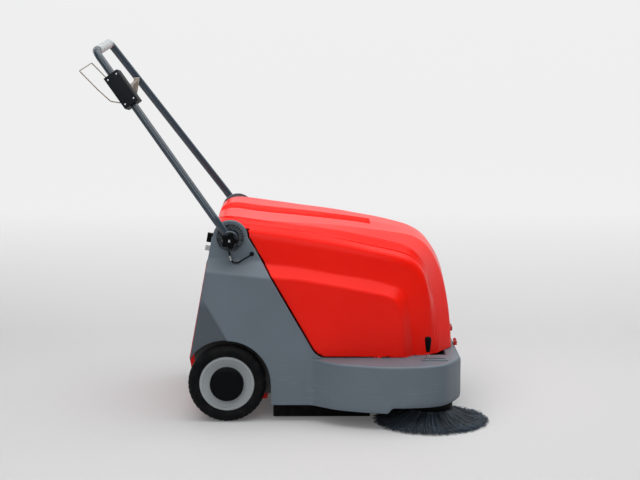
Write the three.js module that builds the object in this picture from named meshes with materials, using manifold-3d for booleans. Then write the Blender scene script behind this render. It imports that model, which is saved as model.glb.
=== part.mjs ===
// Walk-behind floor sweeper: battery machine with a dirt hopper between the rear wheels,
// a main roller under the middle and one side brush at the front right corner.
// Units are millimetres. +X is the machine's front, +Y its left side, +Z is up.
// While it is built, X is zero over the rear axle, Y on the mid-plane and Z on the floor.
// The whole is then moved so that the origin is the middle of its footprint.
import * as THREE from 'three';
import { mergeGeometries, mergeVertices } from 'three/addons/utils/BufferGeometryUtils.js';
import Module from 'manifold-3d';

const wasm = await Module();
wasm.setup();

// Driving dimensions
const fit = 0.3;              // standing gap between pieces that touch
const runningGap = 1.0;       // gap beside a piece that turns
const overrun = 20;           // how far a cutting shape passes the surface it cuts
const shellWall = 5;          // wall of the moulded lower body
const hoodWall = 4;           // wall of the hood
const plateWall = 4;          // sheet metal of the chassis

const wheelRadius = 112.5;
const wheelWidth = 52;
const wheelOuterFace = 305;   // from the mid-plane to the outer face of the tyre
const archRadius = 127;

const bodyHalfWidth = 300;    // lower body side plane
const earHalfWidth = 268;     // outer plane of the ears that carry the handle
const deckHeight = 187;       // top of the base that the hood stands on
const baseBottom = 50;
const baseFront = 678;
const podReach = 402;         // how far the side brush pod stands out on the right

const pivotX = 12;            // handle pivot, in the centre of the ear's round top
const pivotHeight = 538;
const earRadius = 50;

const hoodRear = -34;
const hoodLength = 700;
const hoodHalfWidth = 285;
const hoodLift = 3;           // between the deck and the hood's lower edge
const hoodBottom = deckHeight + hoodLift;
const hoodHeight = 402;
const hoodOpenGap = 4;        // black gap between the hood and the lower body

const handleTubeRadius = 11;
const handleBarX = -373;      // centre of the crossbar
const handleBarHeight = 1064;
const handleBarHalf = 186;    // half the distance between the tubes, where they would meet the bar

const chassisHalfWidth = 244;
const hopperGap = 8;          // between the hopper and a side plate of the chassis
const hopperHalfWidth = chassisHalfWidth - plateWall - hopperGap;
const rollerX = 290;
const rollerRadius = 129.3;
const rollerHeight = 130;

const brushX = 592;           // centre of the side brush
const brushInset = 112;       // from the pod's outer side to the middle of the side brush
const brushY = brushInset - podReach;
const brushTipRadius = 172;

const casterX = 585;
const casterWheelRadius = 50;
const casterTrail = 25;

// Materials
const finish = (color, roughness, metalness) => () =>
  new THREE.MeshStandardMaterial({ color, roughness, metalness });
const greyPlastic = finish(0x68717a, 0.5, 0);
const redPlastic = finish(0xd81c10, 0.25, 0);
const blackPlastic = finish(0x16181a, 0.5, 0);
const paleGrip = finish(0xb9bdc0, 0.6, 0);
const slatePaint = finish(0x2b3840, 0.3, 0.3);
const blackSteel = finish(0x24272a, 0.6, 0.5);
const brightSteel = finish(0xc4c8cc, 0.25, 1);
const blackRubber = finish(0x1b1c1e, 0.85, 0);
const wheelGrey = finish(0x8a9096, 0.5, 0);
const bristleBlue = finish(0x2a3440, 0.7, 0);
const paleCover = finish(0x5d646b, 0.5, 0);

// Solids
const toSolid = (geometry) => {
  const bare = geometry.clone();
  bare.deleteAttribute('normal');
  bare.deleteAttribute('uv');
  const merged = mergeVertices(bare);
  return new wasm.Manifold(new wasm.Mesh({
    numProp: 3,
    vertProperties: new Float32Array(merged.attributes.position.array),
    triVerts: new Uint32Array(merged.index.array),
  }));
};

const toGeometry = (solid) => {
  const mesh = solid.getMesh();
  const geometry = new THREE.BufferGeometry();
  geometry.setAttribute('position', new THREE.BufferAttribute(mesh.vertProperties, 3));
  geometry.setIndex(new THREE.BufferAttribute(mesh.triVerts, 1));
  return geometry;
};

const join = (first, ...others) =>
  toGeometry(others.reduce((sum, next) => sum.add(toSolid(next)), toSolid(first)));
const cut = (first, ...tools) =>
  toGeometry(tools.reduce((rest, tool) => rest.subtract(toSolid(tool)), toSolid(first)));
const keepInside = (first, second) => toGeometry(toSolid(first).intersect(toSolid(second)));

// A block from its low and high corner
const block = (x0, x1, y0, y1, z0, z1) =>
  new THREE.BoxGeometry(x1 - x0, y1 - y0, z1 - z0)
    .translate((x0 + x1) / 2, (y0 + y1) / 2, (z0 + z1) / 2);

const shapeOf = (points) => new THREE.Shape(points.map(([a, b]) => new THREE.Vector2(a, b)));

// A side view outline of [x, z] points, carried across the machine from y0 to y1
const sidePrism = (points, y0, y1) =>
  new THREE.ExtrudeGeometry(shapeOf(points), { depth: y1 - y0, bevelEnabled: false })
    .rotateX(Math.PI / 2).translate(0, y1, 0);

// A plan outline of [x, y] points, carried up from z0 to z1
const planPrism = (points, z0, z1) =>
  new THREE.ExtrudeGeometry(shapeOf(points), { depth: z1 - z0, bevelEnabled: false })
    .translate(0, 0, z0);

const roundY = (radius, y0, y1, x, z, sides = 24) =>
  new THREE.CylinderGeometry(radius, radius, y1 - y0, sides).translate(x, (y0 + y1) / 2, z);
const roundZ = (radius, z0, z1, x, y, sides = 24) =>
  new THREE.CylinderGeometry(radius, radius, z1 - z0, sides).rotateX(Math.PI / 2)
    .translate(x, y, (z0 + z1) / 2);

// A turned piece: [radius, height] points about the Y axis of the machine
const turnedY = (profile, sides = 24) =>
  new THREE.LatheGeometry(profile.map(([r, h]) => new THREE.Vector2(r, h)), sides);
const turnedZ = (profile, sides = 24) => turnedY(profile, sides).rotateX(Math.PI / 2);

// A round bar along a list of points, with its bends rounded to a radius
const bentPath = (points, bend, closed = false) => {
  const path = new THREE.CurvePath();
  const corners = points.map((p) => new THREE.Vector3(...p));
  let from = corners[0];
  corners.slice(1, -1).forEach((corner, i) => {
    const before = corners[i].clone().sub(corner);
    const after = corners[i + 2].clone().sub(corner);
    const half = before.angleTo(after) / 2;
    const back = bend / Math.tan(half);
    const start = corner.clone().add(before.setLength(back));
    const end = corner.clone().add(after.setLength(back));
    path.add(new THREE.LineCurve3(from, start));
    path.add(new THREE.QuadraticBezierCurve3(start, corner, end));
    from = end;
  });
  path.add(new THREE.LineCurve3(from, corners[corners.length - 1]));
  return path;
};

const ring = (radius, sides) => {
  const shape = new THREE.Shape();
  Array.from({ length: sides }, (_, i) => (2 * Math.PI * i) / sides).forEach((a, i) => {
    const move = i === 0 ? 'moveTo' : 'lineTo';
    shape[move](radius * Math.cos(a), radius * Math.sin(a));
  });
  return shape;
};

// Stations along a bent path: the ends of each straight run, and steps round each bend
const pathStations = (path, bendSteps) => path.curves.flatMap((curve, i) => {
  const steps = curve.isLineCurve3 ? 1 : bendSteps;
  const found = Array.from({ length: steps }, (_, k) => curve.getPoint(k / steps));
  return i === path.curves.length - 1 ? [...found, curve.getPoint(1)] : found;
});

// A curve that passes through stations and reports them at even steps, for extrusion
class StationPath extends THREE.Curve {
  constructor(stations) {
    super();
    this.stations = stations;
  }

  getPoint(t) {
    const last = this.stations.length - 1;
    const place = Math.min(Math.max(t * last, 0), last);
    const low = Math.min(Math.floor(place), last - 1);
    return this.stations[low].clone().lerp(this.stations[low + 1], place - low);
  }

  getPointAt(t) {
    return this.getPoint(t);
  }

  getTangent(t) {
    const last = this.stations.length - 1;
    const place = Math.round(t * last);
    const before = this.stations[Math.max(place - 1, 0)];
    const here = this.stations[place];
    const after = this.stations[Math.min(place + 1, last)];
    const run = new THREE.Vector3();
    if (place > 0) run.add(here.clone().sub(before).normalize());
    if (place < last) run.add(after.clone().sub(here).normalize());
    return run.normalize();
  }

  getTangentAt(t) {
    return this.getTangent(t);
  }
}

const bar = (points, radius, bend, sides = 10, bendSteps = 5) => {
  const stations = points.length > 2
    ? pathStations(bentPath(points, bend), bendSteps)
    : points.map((p) => new THREE.Vector3(...p));
  return new THREE.ExtrudeGeometry(ring(radius, sides), {
    steps: stations.length - 1,
    extrudePath: new StationPath(stations),
    bevelEnabled: false,
  });
};

// A skin between matching loops of points, closed by a fan at its start, and by a fan or,
// where a tip is given, a point at its end
const loft = (loops, tip) => {
  const count = loops[0].length;
  const position = [...loops.flat(2), ...(tip || [])];
  const index = [];
  loops.slice(1).forEach((_, row) => {
    for (let i = 0; i < count; i += 1) {
      const a = row * count + i;
      const b = row * count + ((i + 1) % count);
      index.push(a, b, a + count, b, b + count, a + count);
    }
  });
  const last = (loops.length - 1) * count;
  for (let i = 1; i < count - 1; i += 1) {
    index.push(0, i + 1, i);
    if (!tip) index.push(last, last + i, last + i + 1);
  }
  for (let i = 0; tip && i < count; i += 1) {
    index.push(last + i, last + ((i + 1) % count), last + count);
  }
  const geometry = new THREE.BufferGeometry();
  geometry.setAttribute('position', new THREE.Float32BufferAttribute(position, 3));
  geometry.setIndex(index);
  return geometry;
};

const turnedOver = (geometry) => {
  const flipped = geometry.clone();
  const index = Array.from(geometry.index.array);
  const turned = index.map((_, i) => index[i - (i % 3) + (2 - (i % 3))]);
  flipped.setIndex(turned);
  return flipped;
};

const faced = (geometry) => {
  const p = geometry.attributes.position;
  const index = geometry.index.array;
  const corner = [new THREE.Vector3(), new THREE.Vector3(), new THREE.Vector3()];
  let volume = 0;
  for (let i = 0; i < index.length; i += 3) {
    corner.forEach((v, k) => v.fromBufferAttribute(p, index[i + k]));
    volume += corner[0].dot(corner[1].clone().cross(corner[2]));
  }
  return volume < 0 ? turnedOver(geometry) : geometry;
};

const mirrored = (geometry) => turnedOver(mergeVertices(geometry.clone().scale(1, -1, 1)));

const group = new THREE.Group();
group.name = 'walk_behind_sweeper';
const machine = new THREE.Group();
group.add(machine);

const add = (name, geometry, material) => {
  const mesh = new THREE.Mesh(geometry, material());
  mesh.name = name;
  machine.add(mesh);
};

// The seam: the slanted line in side view where the hood meets the ears, and the ears' rear line.
// Their ends lie ahead of or behind the handle's pivot, and above it or above the deck.
const seamEnds = { topAhead: 45, topRise: 9, lowAhead: 235, lowRise: 27 };
const rearEnds = { topRise: 18, lowBehind: 118, lowRise: 3 };
const seam = {
  topX: pivotX + seamEnds.topAhead, topZ: pivotHeight + seamEnds.topRise,
  bottomX: pivotX + seamEnds.lowAhead, bottomZ: deckHeight + seamEnds.lowRise,
};
const seamX = (z) => seam.topX
  + ((seam.topZ - z) * (seam.bottomX - seam.topX)) / (seam.topZ - seam.bottomZ);
// Near the deck the seam runs out forwards in a quarter round. The places, [x, z] from its top
// to the deck, are moved square to it by a clearance.
const seamFoot = (clear) => {
  const steps = 4;
  const round = seamEnds.lowRise;
  return Array.from({ length: steps + 1 }, (_, i) => {
    const angle = (i / steps) * (Math.PI / 2);
    const z = deckHeight + round * (1 - Math.sin(angle));
    return [
      seamX(z) + round * (1 - Math.cos(angle)) + clear * Math.cos(angle), z + clear * Math.sin(angle),
    ];
  });
};
const rearLine = {
  topX: pivotX - earRadius, topZ: pivotHeight + rearEnds.topRise,
  bottomX: pivotX - rearEnds.lowBehind, bottomZ: deckHeight + rearEnds.lowRise,
};
const rearX = (z) => rearLine.topX
  + ((rearLine.topZ - z) * (rearLine.bottomX - rearLine.topX)) / (rearLine.topZ - rearLine.bottomZ);

// Moulded lower body: two side walls with ears, and the base with the side brush pod
const ledgeDrop = { rearTop: 61, frontTop: 69, rearLow: 95, frontLow: 116 };   // below the pivot
const base = {
  rear: 128, holeHalf: chassisHalfWidth + fit, holeFront: 640, cornerRadius: 80,
  podStart: 247, stepX: 465, stepUp: 16,
};
const pivot = { boltRadius: 6, ringRadius: 39.5, ringDepth: 14, lugRadius: 24, lugDepth: 24 };
// The lever stands a little behind the middle of the side brush, beside the hood
const leverPlaces = {
  behind: 11, outside: 20, pivotDrop: 42, topRise: 68, lowRise: 15, slotBehind: 22, slotAhead: 38,
};
const lever = {
  x: brushX - leverPlaces.behind, y: -hoodHalfWidth - leverPlaces.outside,
  pivotZ: deckHeight - leverPlaces.pivotDrop, gripTop: deckHeight + leverPlaces.topRise,
  gripLow: deckHeight + leverPlaces.lowRise, slotRear: brushX - leverPlaces.slotBehind,
  slotFront: brushX + leverPlaces.slotAhead, slotHalf: 6, plateSkirt: 8, plateThick: 2,
  shaftRadius: 3.5, eyeRadius: 7, pinRadius: 3, cheekHalf: 12, cheekThick: 3,
  gripTopRadius: 10, gripLowRadius: 6,
};
const roller = {
  half: 228, shaftRadius: 12, bearingDepth: 12, beltY: 262, beltHalf: 7, pulleyRadius: 60,
  motorBehind: 166, motorRise: 56, motorPulleyRadius: 20, motorRadius: 46, motorHalf: 110,
  beltThick: 3, flange: 3, slotGap: 8,
};
const motorX = hoodRear + hoodLength - roller.motorBehind;
const deckDrop = 11;          // from the base's deck down to the top of the chassis deck
const chassisDeck = deckHeight - deckDrop;
const motorZ = chassisDeck + roller.motorRise;
const beltSlotCut = () => block(
  rollerX - roller.pulleyRadius - roller.slotGap, motorX - roller.slotGap,
  roller.beltY - roller.beltHalf - roller.flange, roller.beltY + roller.beltHalf + roller.flange,
  deckHeight - overrun, deckHeight + overrun,
);
const leverSlotCut = () => block(lever.slotRear - lever.plateSkirt / 2,
  lever.slotFront + lever.plateSkirt / 2, lever.y - lever.cheekHalf - lever.plateThick,
  lever.y + lever.cheekHalf + lever.plateThick, deckHeight - overrun, deckHeight + overrun);
// Near edge of the pod from above, as shares of its length and of its reach past the side wall
const podShares = [[0, 0], [0.065, 0.25], [0.153, 0.55], [0.251, 0.73], [0.383, 0.9],
  [0.513, 1], [0.645, 1], [0.777, 0.9], [0.88, 0.67], [0.953, 0.18], [1, -0.31]];

const basePlan = (inset) => {
  const side = bodyHalfWidth - inset;
  const front = baseFront - inset;
  const pod = podShares.map(([along, out]) => [
    base.podStart + along * (front - base.podStart),
    -(side + out * (podReach - bodyHalfWidth)),
  ]);
  const turns = 5;
  const corner = Array.from({ length: turns + 1 }, (_, i) => {
    const angle = (i / turns) * (Math.PI / 2);
    const r = base.cornerRadius - inset;
    return [
      baseFront - base.cornerRadius + r * Math.cos(angle),
      bodyHalfWidth - base.cornerRadius + r * Math.sin(angle),
    ];
  });
  return [[base.rear + inset, -side], ...pod, ...corner, [base.rear + inset, side]];
};

// A flat panel in each side wall turns inwards behind a crease that runs down and forwards
const crease = { drop: 168, rim: 3, lowX: 33, turnIn: 30 };
const creaseTop = pivotHeight - crease.drop;
// One wall in rings from the floor side up. A ring has a rear, a middle and a front place in
// side view, as [x, z], and the outer y of its rear and of the rest.
const ring3 = (rear, middle, front, y, turnIn = 0) => ({ places: [rear, middle, front], y, turnIn });
const evenRing = (rear, front, y) =>
  ring3(rear, [(rear[0] + front[0]) / 2, (rear[1] + front[1]) / 2], front, y);
const ledgeRing = (rearDrop, frontDrop, y) => evenRing(
  [rearX(pivotHeight - rearDrop), pivotHeight - rearDrop],
  [seamX(pivotHeight - frontDrop), pivotHeight - frontDrop], y,
);
const creaseRing = (front, turnShare) => {
  const z = creaseTop + (deckHeight - creaseTop) * turnShare;
  const topX = rearX(creaseTop) + crease.rim;
  const middle = topX + (crease.lowX - topX) * turnShare;
  return ring3([rearX(z), z], [middle, z], front, bodyHalfWidth, crease.turnIn * turnShare);
};
const sideWallRings = () => {
  const foot = seamFoot(0).reverse();
  const lowRing = (frontX, z) => ring3([base.rear - plateWall, z], [base.rear - plateWall / 2, z],
    [frontX, z], bodyHalfWidth);
  const footShare = (z) => (creaseTop - z) / (creaseTop - deckHeight);
  const straight = [
    lowRing(base.podStart, baseBottom),
    lowRing(foot[0][0], wheelRadius),
    ...foot.map((place) => creaseRing(place, footShare(place[1]))),
    creaseRing([seamX(creaseTop), creaseTop], 0),
    ledgeRing(ledgeDrop.rearLow, ledgeDrop.frontLow, bodyHalfWidth),
    ledgeRing(ledgeDrop.rearTop, ledgeDrop.frontTop, earHalfWidth),
  ];
  const steps = 5;
  const top = Array.from({ length: steps }, (_, i) => {
    const angle = (i / steps) * (Math.PI / 2);
    const z = pivotHeight + earRadius * Math.sin(angle);
    const half = earRadius * Math.cos(angle);
    return evenRing([pivotX - half, z], [pivotX + half, z], earHalfWidth);
  });
  return [...straight, ...top];
};

const sideWall = () => faced(loft(sideWallRings().map(({ places, y, turnIn }) => {
  const outer = places.map(([x, z], i) => [x, i === 0 ? turnIn - y : -y, z]);
  return [...outer, ...outer.map(([x, out, z]) => [x, out + shellWall, z]).reverse()];
})));

const lowerBody = () => {
  const basin = cut(
    planPrism(basePlan(0), baseBottom, deckHeight),
    planPrism(basePlan(shellWall), baseBottom - overrun, deckHeight - shellWall),
    block(base.rear - overrun, base.holeFront, -base.holeHalf, base.holeHalf,
      baseBottom - overrun, deckHeight + overrun),
    block(base.stepX, baseFront + overrun, -podReach - overrun,
      podReach + overrun, baseBottom - overrun, baseBottom + base.stepUp),
    leverSlotCut(),
    beltSlotCut(),
  );
  const arch = roundY(archRadius, -bodyHalfWidth - overrun, bodyHalfWidth + overrun,
    0, wheelRadius, 48);
  const archLeg = block(-archRadius - overrun, base.rear - fit, -bodyHalfWidth - overrun,
    bodyHalfWidth + overrun, baseBottom - overrun, wheelRadius);
  const wall = sideWall();
  return cut(join(basin, wall, mirrored(wall)), arch, archLeg,
    ...[-1, 1].map((side) => roundY(pivot.boltRadius + fit, side * earHalfWidth - shellWall * 2,
      side * earHalfWidth + shellWall * 2, pivotX, pivotHeight, 12)));
};
add('lower_body', lowerBody(), greyPlastic);

// Rear panel between the ears, with the key and the power knob on it
const panel = { drop: 76, rise: 22, thick: 5, setIn: 6, flange: 14 };
const panelLow = pivotHeight - panel.drop;
const panelHigh = pivotHeight + panel.rise;
const panelLine = (z, inset) => [rearX(z) + panel.setIn + inset, z];
const rearPanel = () => {
  const half = earHalfWidth - shellWall - fit;
  const sheet = sidePrism([
    panelLine(panelLow, 0), panelLine(panelLow, panel.thick),
    panelLine(panelHigh, panel.thick), panelLine(panelHigh, 0),
  ], -half, half);
  const ends = [-1, 1].map((side) => sidePrism([
    panelLine(panelLow, panel.thick / 2), panelLine(panelLow, panel.flange),
    panelLine(panelHigh, panel.flange), panelLine(panelHigh, panel.thick / 2),
  ], Math.min(side * half, side * (half - panel.thick)), Math.max(side * half,
    side * (half - panel.thick))));
  return join(sheet, ...ends);
};
add('rear_panel', rearPanel(), greyPlastic);

// A knob or key that turns about the normal of the rear panel
const panelNormal = new THREE.Vector3(rearLine.bottomZ - rearLine.topZ, 0,
  rearLine.topX - rearLine.bottomX).normalize();
const onPanel = (geometry, y, z) => {
  const turn = new THREE.Quaternion().setFromUnitVectors(new THREE.Vector3(0, 1, 0), panelNormal);
  const seat = new THREE.Vector3(rearX(z) + panel.setIn, y, z)
    .add(panelNormal.clone().multiplyScalar(fit));
  return geometry.applyQuaternion(turn).translate(seat.x, seat.y, seat.z);
};
const controlsY = -150;       // both are in one line up the panel
const powerKnob = { drop: 23, radius: 15, depth: 22, barHalf: 5, baseDepth: 8 };
const key = { drop: 54, radius: 9, depth: 6, bowHalf: 8, bowDepth: 22, bowThick: 3 };
add('power_knob', onPanel(join(
  new THREE.CylinderGeometry(powerKnob.radius, powerKnob.radius, powerKnob.baseDepth, 20)
    .translate(0, powerKnob.baseDepth / 2, 0),
  new THREE.BoxGeometry(powerKnob.barHalf * 2, powerKnob.depth, powerKnob.radius * 1.8)
    .translate(0, powerKnob.depth / 2, 0),
), controlsY, pivotHeight - powerKnob.drop), blackPlastic);
add('key_switch', onPanel(join(
  new THREE.CylinderGeometry(key.radius, key.radius, key.depth, 16).translate(0, key.depth / 2, 0),
  new THREE.BoxGeometry(key.bowThick, key.bowDepth, key.bowHalf * 2)
    .translate(0, key.bowDepth / 2, 0),
), controlsY, pivotHeight - key.drop), brightSteel);

// Chassis: two side plates that close the wheel arches, the plate over the main roller and the
// front deck
const chassis = {
  rear: -96, low: 62, rearTop: 245, coverRear: 148, coverFront: 440, coverTop: 275,
  front: 636, rollerDoor: 90, axleRadius: 10, bearingRadius: 26,
  postStand: 78, postRadius: 8, casterTop: 134, casterHalf: 26,
};
const postX = brushX;         // the side brush's arm slides on a post beside its motor
const postY = brushY + chassis.postStand;
const chassisSide = () => [
  [chassis.rear, chassis.low + plateWall * 4], [chassis.coverFront, chassis.low],
  [chassis.coverFront + plateWall * 10, chassisDeck - plateWall * 6],
  [chassis.front, chassisDeck - plateWall * 6], [chassis.front, chassisDeck],
  [chassis.coverFront, chassisDeck], [chassis.coverFront, chassis.coverTop],
  [chassis.coverRear, chassis.coverTop], [chassis.coverRear - plateWall, chassis.rearTop],
  [chassis.rear, chassis.rearTop],
];
const chassisFrame = () => {
  const side = (y0, y1) => sidePrism(chassisSide(), y0, y1);
  const inner = chassisHalfWidth - plateWall;
  const cover = block(chassis.coverRear, chassis.coverFront, -inner - plateWall / 2,
    inner + plateWall / 2, chassis.coverTop - plateWall, chassis.coverTop);
  const front = block(chassis.coverFront - plateWall, chassis.coverFront, -inner - plateWall / 2,
    inner + plateWall / 2, chassis.rollerDoor, chassis.coverTop);
  const deck = block(chassis.coverFront - plateWall, chassis.front, -inner - plateWall / 2,
    inner + plateWall / 2, chassisDeck - plateWall, chassisDeck);
  const post = roundZ(chassis.postRadius, chassis.low, chassisDeck - plateWall / 2,
    postX, postY, 16);
  const strap = block(postX - chassis.postRadius, postX + chassis.postRadius,
    postY - chassis.postRadius, 0, chassisDeck - plateWall, chassisDeck);
  const casterBox = block(casterX - chassis.casterHalf, casterX + chassis.casterHalf,
    -chassis.casterHalf, chassis.casterHalf, chassis.casterTop, chassisDeck - plateWall / 2);
  const holes = [
    roundY(chassis.axleRadius + fit, -bodyHalfWidth, bodyHalfWidth, 0, wheelRadius, 16),
    roundY(chassis.bearingRadius + fit, -bodyHalfWidth, bodyHalfWidth,
      rollerX, rollerHeight, 20),
  ];
  return cut(join(side(-chassisHalfWidth, -inner), side(inner, chassisHalfWidth),
    cover, front, deck, strap, post, casterBox), ...holes);
};
add('chassis', chassisFrame(), blackSteel);

// Wheels turn on stub axles, because the hopper slides out between them
const wheel = { rimRadius: 80, rimDish: 8, hubRadius: 49, hubRise: 9, boreRadius: 10.5, bead: 6 };
const wheelSides = 32;
const wheelInner = wheelOuterFace - wheelWidth;
const tyreProfile = () => {
  const [low, high, r] = [wheelInner, wheelOuterFace, wheelRadius];
  const seat = wheel.rimRadius + fit;
  const shoulder = wheel.bead * 2;
  return [[seat, low + wheel.bead], [r - shoulder, low], [r, low + shoulder], [r, high - shoulder],
    [r - shoulder, high], [seat, high - wheel.bead], [seat, low + wheel.bead]];
};
const rimProfile = () => {
  const [low, high] = [wheelInner + wheel.rimDish, wheelOuterFace - wheel.rimDish];
  const face = high - wheel.rimDish;
  return [[wheel.boreRadius, low], [wheel.rimRadius, low], [wheel.rimRadius, high],
    [wheel.rimRadius - wheel.bead, high], [wheel.hubRadius + wheel.bead, face],
    [wheel.boreRadius, face], [wheel.boreRadius, low]];
};
const capProfile = () => {
  const seat = wheelOuterFace - wheel.rimDish * 2 + fit;
  const top = wheelOuterFace + wheel.hubRise;
  return [[0, seat + wheel.bead * 2], [wheel.boreRadius * 1.6, seat + wheel.bead * 2],
    [wheel.boreRadius * 1.6, seat], [wheel.hubRadius, seat], [wheel.hubRadius, top - wheel.bead],
    [wheel.hubRadius - wheel.bead, top], [0, top]];
};
const atAxle = (geometry) => geometry.translate(0, 0, wheelRadius);
const bare = (geometry) => {
  const plain = geometry.clone();
  plain.deleteAttribute('normal');
  plain.deleteAttribute('uv');
  return plain;
};
const sides = [['right', -1], ['left', 1]];
const onSide = (geometry, side) => (side < 0 ? mirrored(mergeVertices(bare(geometry))) : geometry);
sides.forEach(([name, side]) => {
  const stub = atAxle(turnedY([[0, chassisHalfWidth - plateWall * 3],
    [chassis.axleRadius * 1.8, chassisHalfWidth - plateWall * 3],
    [chassis.axleRadius * 1.8, chassisHalfWidth - plateWall - fit],
    [chassis.axleRadius, chassisHalfWidth - plateWall - fit],
    [chassis.axleRadius, wheelOuterFace - wheel.rimDish * 2 + wheel.bead],
    [0, wheelOuterFace - wheel.rimDish * 2 + wheel.bead]], 20));
  add(`axle_${name}`, onSide(stub, side), brightSteel);
  add(`tyre_${name}`, onSide(atAxle(turnedY(tyreProfile(), wheelSides)), side), blackRubber);
  add(`rim_${name}`, onSide(atAxle(turnedY(rimProfile(), wheelSides)), side), wheelGrey);
  add(`hub_cap_${name}`, onSide(atAxle(turnedY(capProfile(), 24)), side), blackPlastic);
});

// Caster under the front deck
const caster = {
  forkHalf: 22, forkThick: 4, forkTop: 122, wheelHalf: 15, axleRadius: 5, boreRadius: 5.5,
  plateTop: 133.7, stemRadius: 12, legHalf: 14, plateRadius: 24,
};
const casterWheelX = casterX - casterTrail;
add('caster_plate', join(
  block(casterX - chassis.casterHalf, casterX + chassis.casterHalf, -chassis.casterHalf,
    chassis.casterHalf, caster.plateTop - caster.forkThick, caster.plateTop),
  roundZ(caster.stemRadius, caster.forkTop + fit, caster.plateTop - fit, casterX, 0, 20),
), brightSteel);
const forkLeg = () => [
  [casterWheelX - caster.legHalf, casterWheelRadius - caster.legHalf],
  [casterWheelX + caster.legHalf, casterWheelRadius - caster.legHalf],
  [casterX + caster.plateRadius, caster.forkTop - caster.forkThick],
  [casterX + caster.plateRadius, caster.forkTop],
  [casterX - caster.plateRadius * 1.6, caster.forkTop],
  [casterWheelX - caster.legHalf, casterWheelRadius + caster.legHalf * 2],
];
add('caster_fork', cut(join(
  sidePrism(forkLeg(), -caster.forkHalf, caster.forkThick - caster.forkHalf),
  sidePrism(forkLeg(), caster.forkHalf - caster.forkThick, caster.forkHalf),
  block(casterX - caster.plateRadius * 1.6, casterX + caster.plateRadius,
    caster.forkThick / 2 - caster.forkHalf, caster.forkHalf - caster.forkThick / 2,
    caster.forkTop - caster.forkThick, caster.forkTop),
), roundY(caster.axleRadius + fit, -overrun * 2, overrun * 2, casterWheelX, casterWheelRadius, 16)),
brightSteel);
add('caster_axle', roundY(caster.axleRadius, -caster.forkHalf - caster.forkThick,
  caster.forkHalf + caster.forkThick, casterWheelX, casterWheelRadius, 12), brightSteel);
const treadShare = 0.6;       // how much of the caster wheel's width runs on the floor
add('caster_wheel', turnedY([[caster.boreRadius, -caster.wheelHalf],
  [casterWheelRadius - caster.forkThick, -caster.wheelHalf],
  [casterWheelRadius, -caster.wheelHalf * treadShare],
  [casterWheelRadius, caster.wheelHalf * treadShare],
  [casterWheelRadius - caster.forkThick, caster.wheelHalf],
  [caster.boreRadius, caster.wheelHalf], [caster.boreRadius, -caster.wheelHalf]], 32)
  .translate(casterWheelX, 0, casterWheelRadius), blackRubber);

// Main roller with its bearings, belt and pulleys
const pulleyLow = roller.beltY - roller.beltHalf;
const pulleyHigh = roller.beltY + roller.beltHalf;
const bearingOuter = chassisHalfWidth + roller.bearingDepth / 2;
add('main_brush', turnedY([
  [0, -bearingOuter], [roller.shaftRadius, -bearingOuter], [roller.shaftRadius, -roller.half],
  [rollerRadius, -roller.half], [rollerRadius, roller.half], [roller.shaftRadius, roller.half],
  [roller.shaftRadius, pulleyLow - fit], [0, pulleyLow - fit],
], 24).translate(rollerX, 0, rollerHeight), bristleBlue);

const bearing = () => {
  const inner = chassisHalfWidth - plateWall * 2;
  return turnedY([[roller.shaftRadius + fit, inner], [chassis.bearingRadius, inner],
    [chassis.bearingRadius, bearingOuter], [roller.shaftRadius + fit, bearingOuter],
    [roller.shaftRadius + fit, inner]], 20).translate(rollerX, 0, rollerHeight);
};
sides.forEach(([name, side]) => add(`brush_bearing_${name}`, onSide(bearing(), side), brightSteel));

const pulley = (radius, x, z) => turnedY([
  [0, pulleyLow], [radius + roller.flange, pulleyLow], [radius, pulleyLow + roller.flange],
  [radius, pulleyHigh - roller.flange], [radius + roller.flange, pulleyHigh], [0, pulleyHigh],
], 24).translate(x, 0, z);
add('brush_pulley', pulley(roller.pulleyRadius, rollerX, rollerHeight), blackSteel);
add('motor_pulley', pulley(roller.motorPulleyRadius, motorX, motorZ), brightSteel);

// The belt is a band round both pulleys: the hull of two circles, less the same hull made thinner
const beltHull = (grow, half) => {
  const run = Math.hypot(motorX - rollerX, motorZ - rollerHeight);
  const lean = Math.atan2(motorZ - rollerHeight, motorX - rollerX);
  const open = Math.acos((roller.pulleyRadius - roller.motorPulleyRadius) / run);
  const arc = (cx, cz, r, from, to, steps) => Array.from({ length: steps + 1 }, (_, i) => {
    const a = lean + from + ((to - from) * i) / steps;
    return [cx + (r + grow) * Math.cos(a), cz + (r + grow) * Math.sin(a)];
  });
  return sidePrism([
    ...arc(rollerX, rollerHeight, roller.pulleyRadius, open, 2 * Math.PI - open, 20),
    ...arc(motorX, motorZ, roller.motorPulleyRadius, -open, open, 10),
  ], roller.beltY - half, roller.beltY + half);
};
const beltHalfWidth = roller.beltHalf - roller.flange - fit;
add('drive_belt', cut(beltHull(roller.beltThick + runningGap, beltHalfWidth),
  beltHull(runningGap, roller.beltHalf)), blackRubber);

const motorFootHalf = 30;
const motorMiddle = roller.beltY / 2;
add('brush_motor', join(
  roundY(roller.motorRadius, motorMiddle - roller.motorHalf, pulleyLow - roller.beltHalf * 2,
    motorX, motorZ, 24),
  roundY(roller.shaftRadius / 2, pulleyLow - roller.beltHalf * 3, pulleyLow - fit,
    motorX, motorZ, 12),
  block(motorX - motorFootHalf, motorX + motorFootHalf,
    motorMiddle - motorFootHalf, motorMiddle + motorFootHalf,
    chassisDeck + fit, motorZ - motorFootHalf),
), blackSteel);

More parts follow.
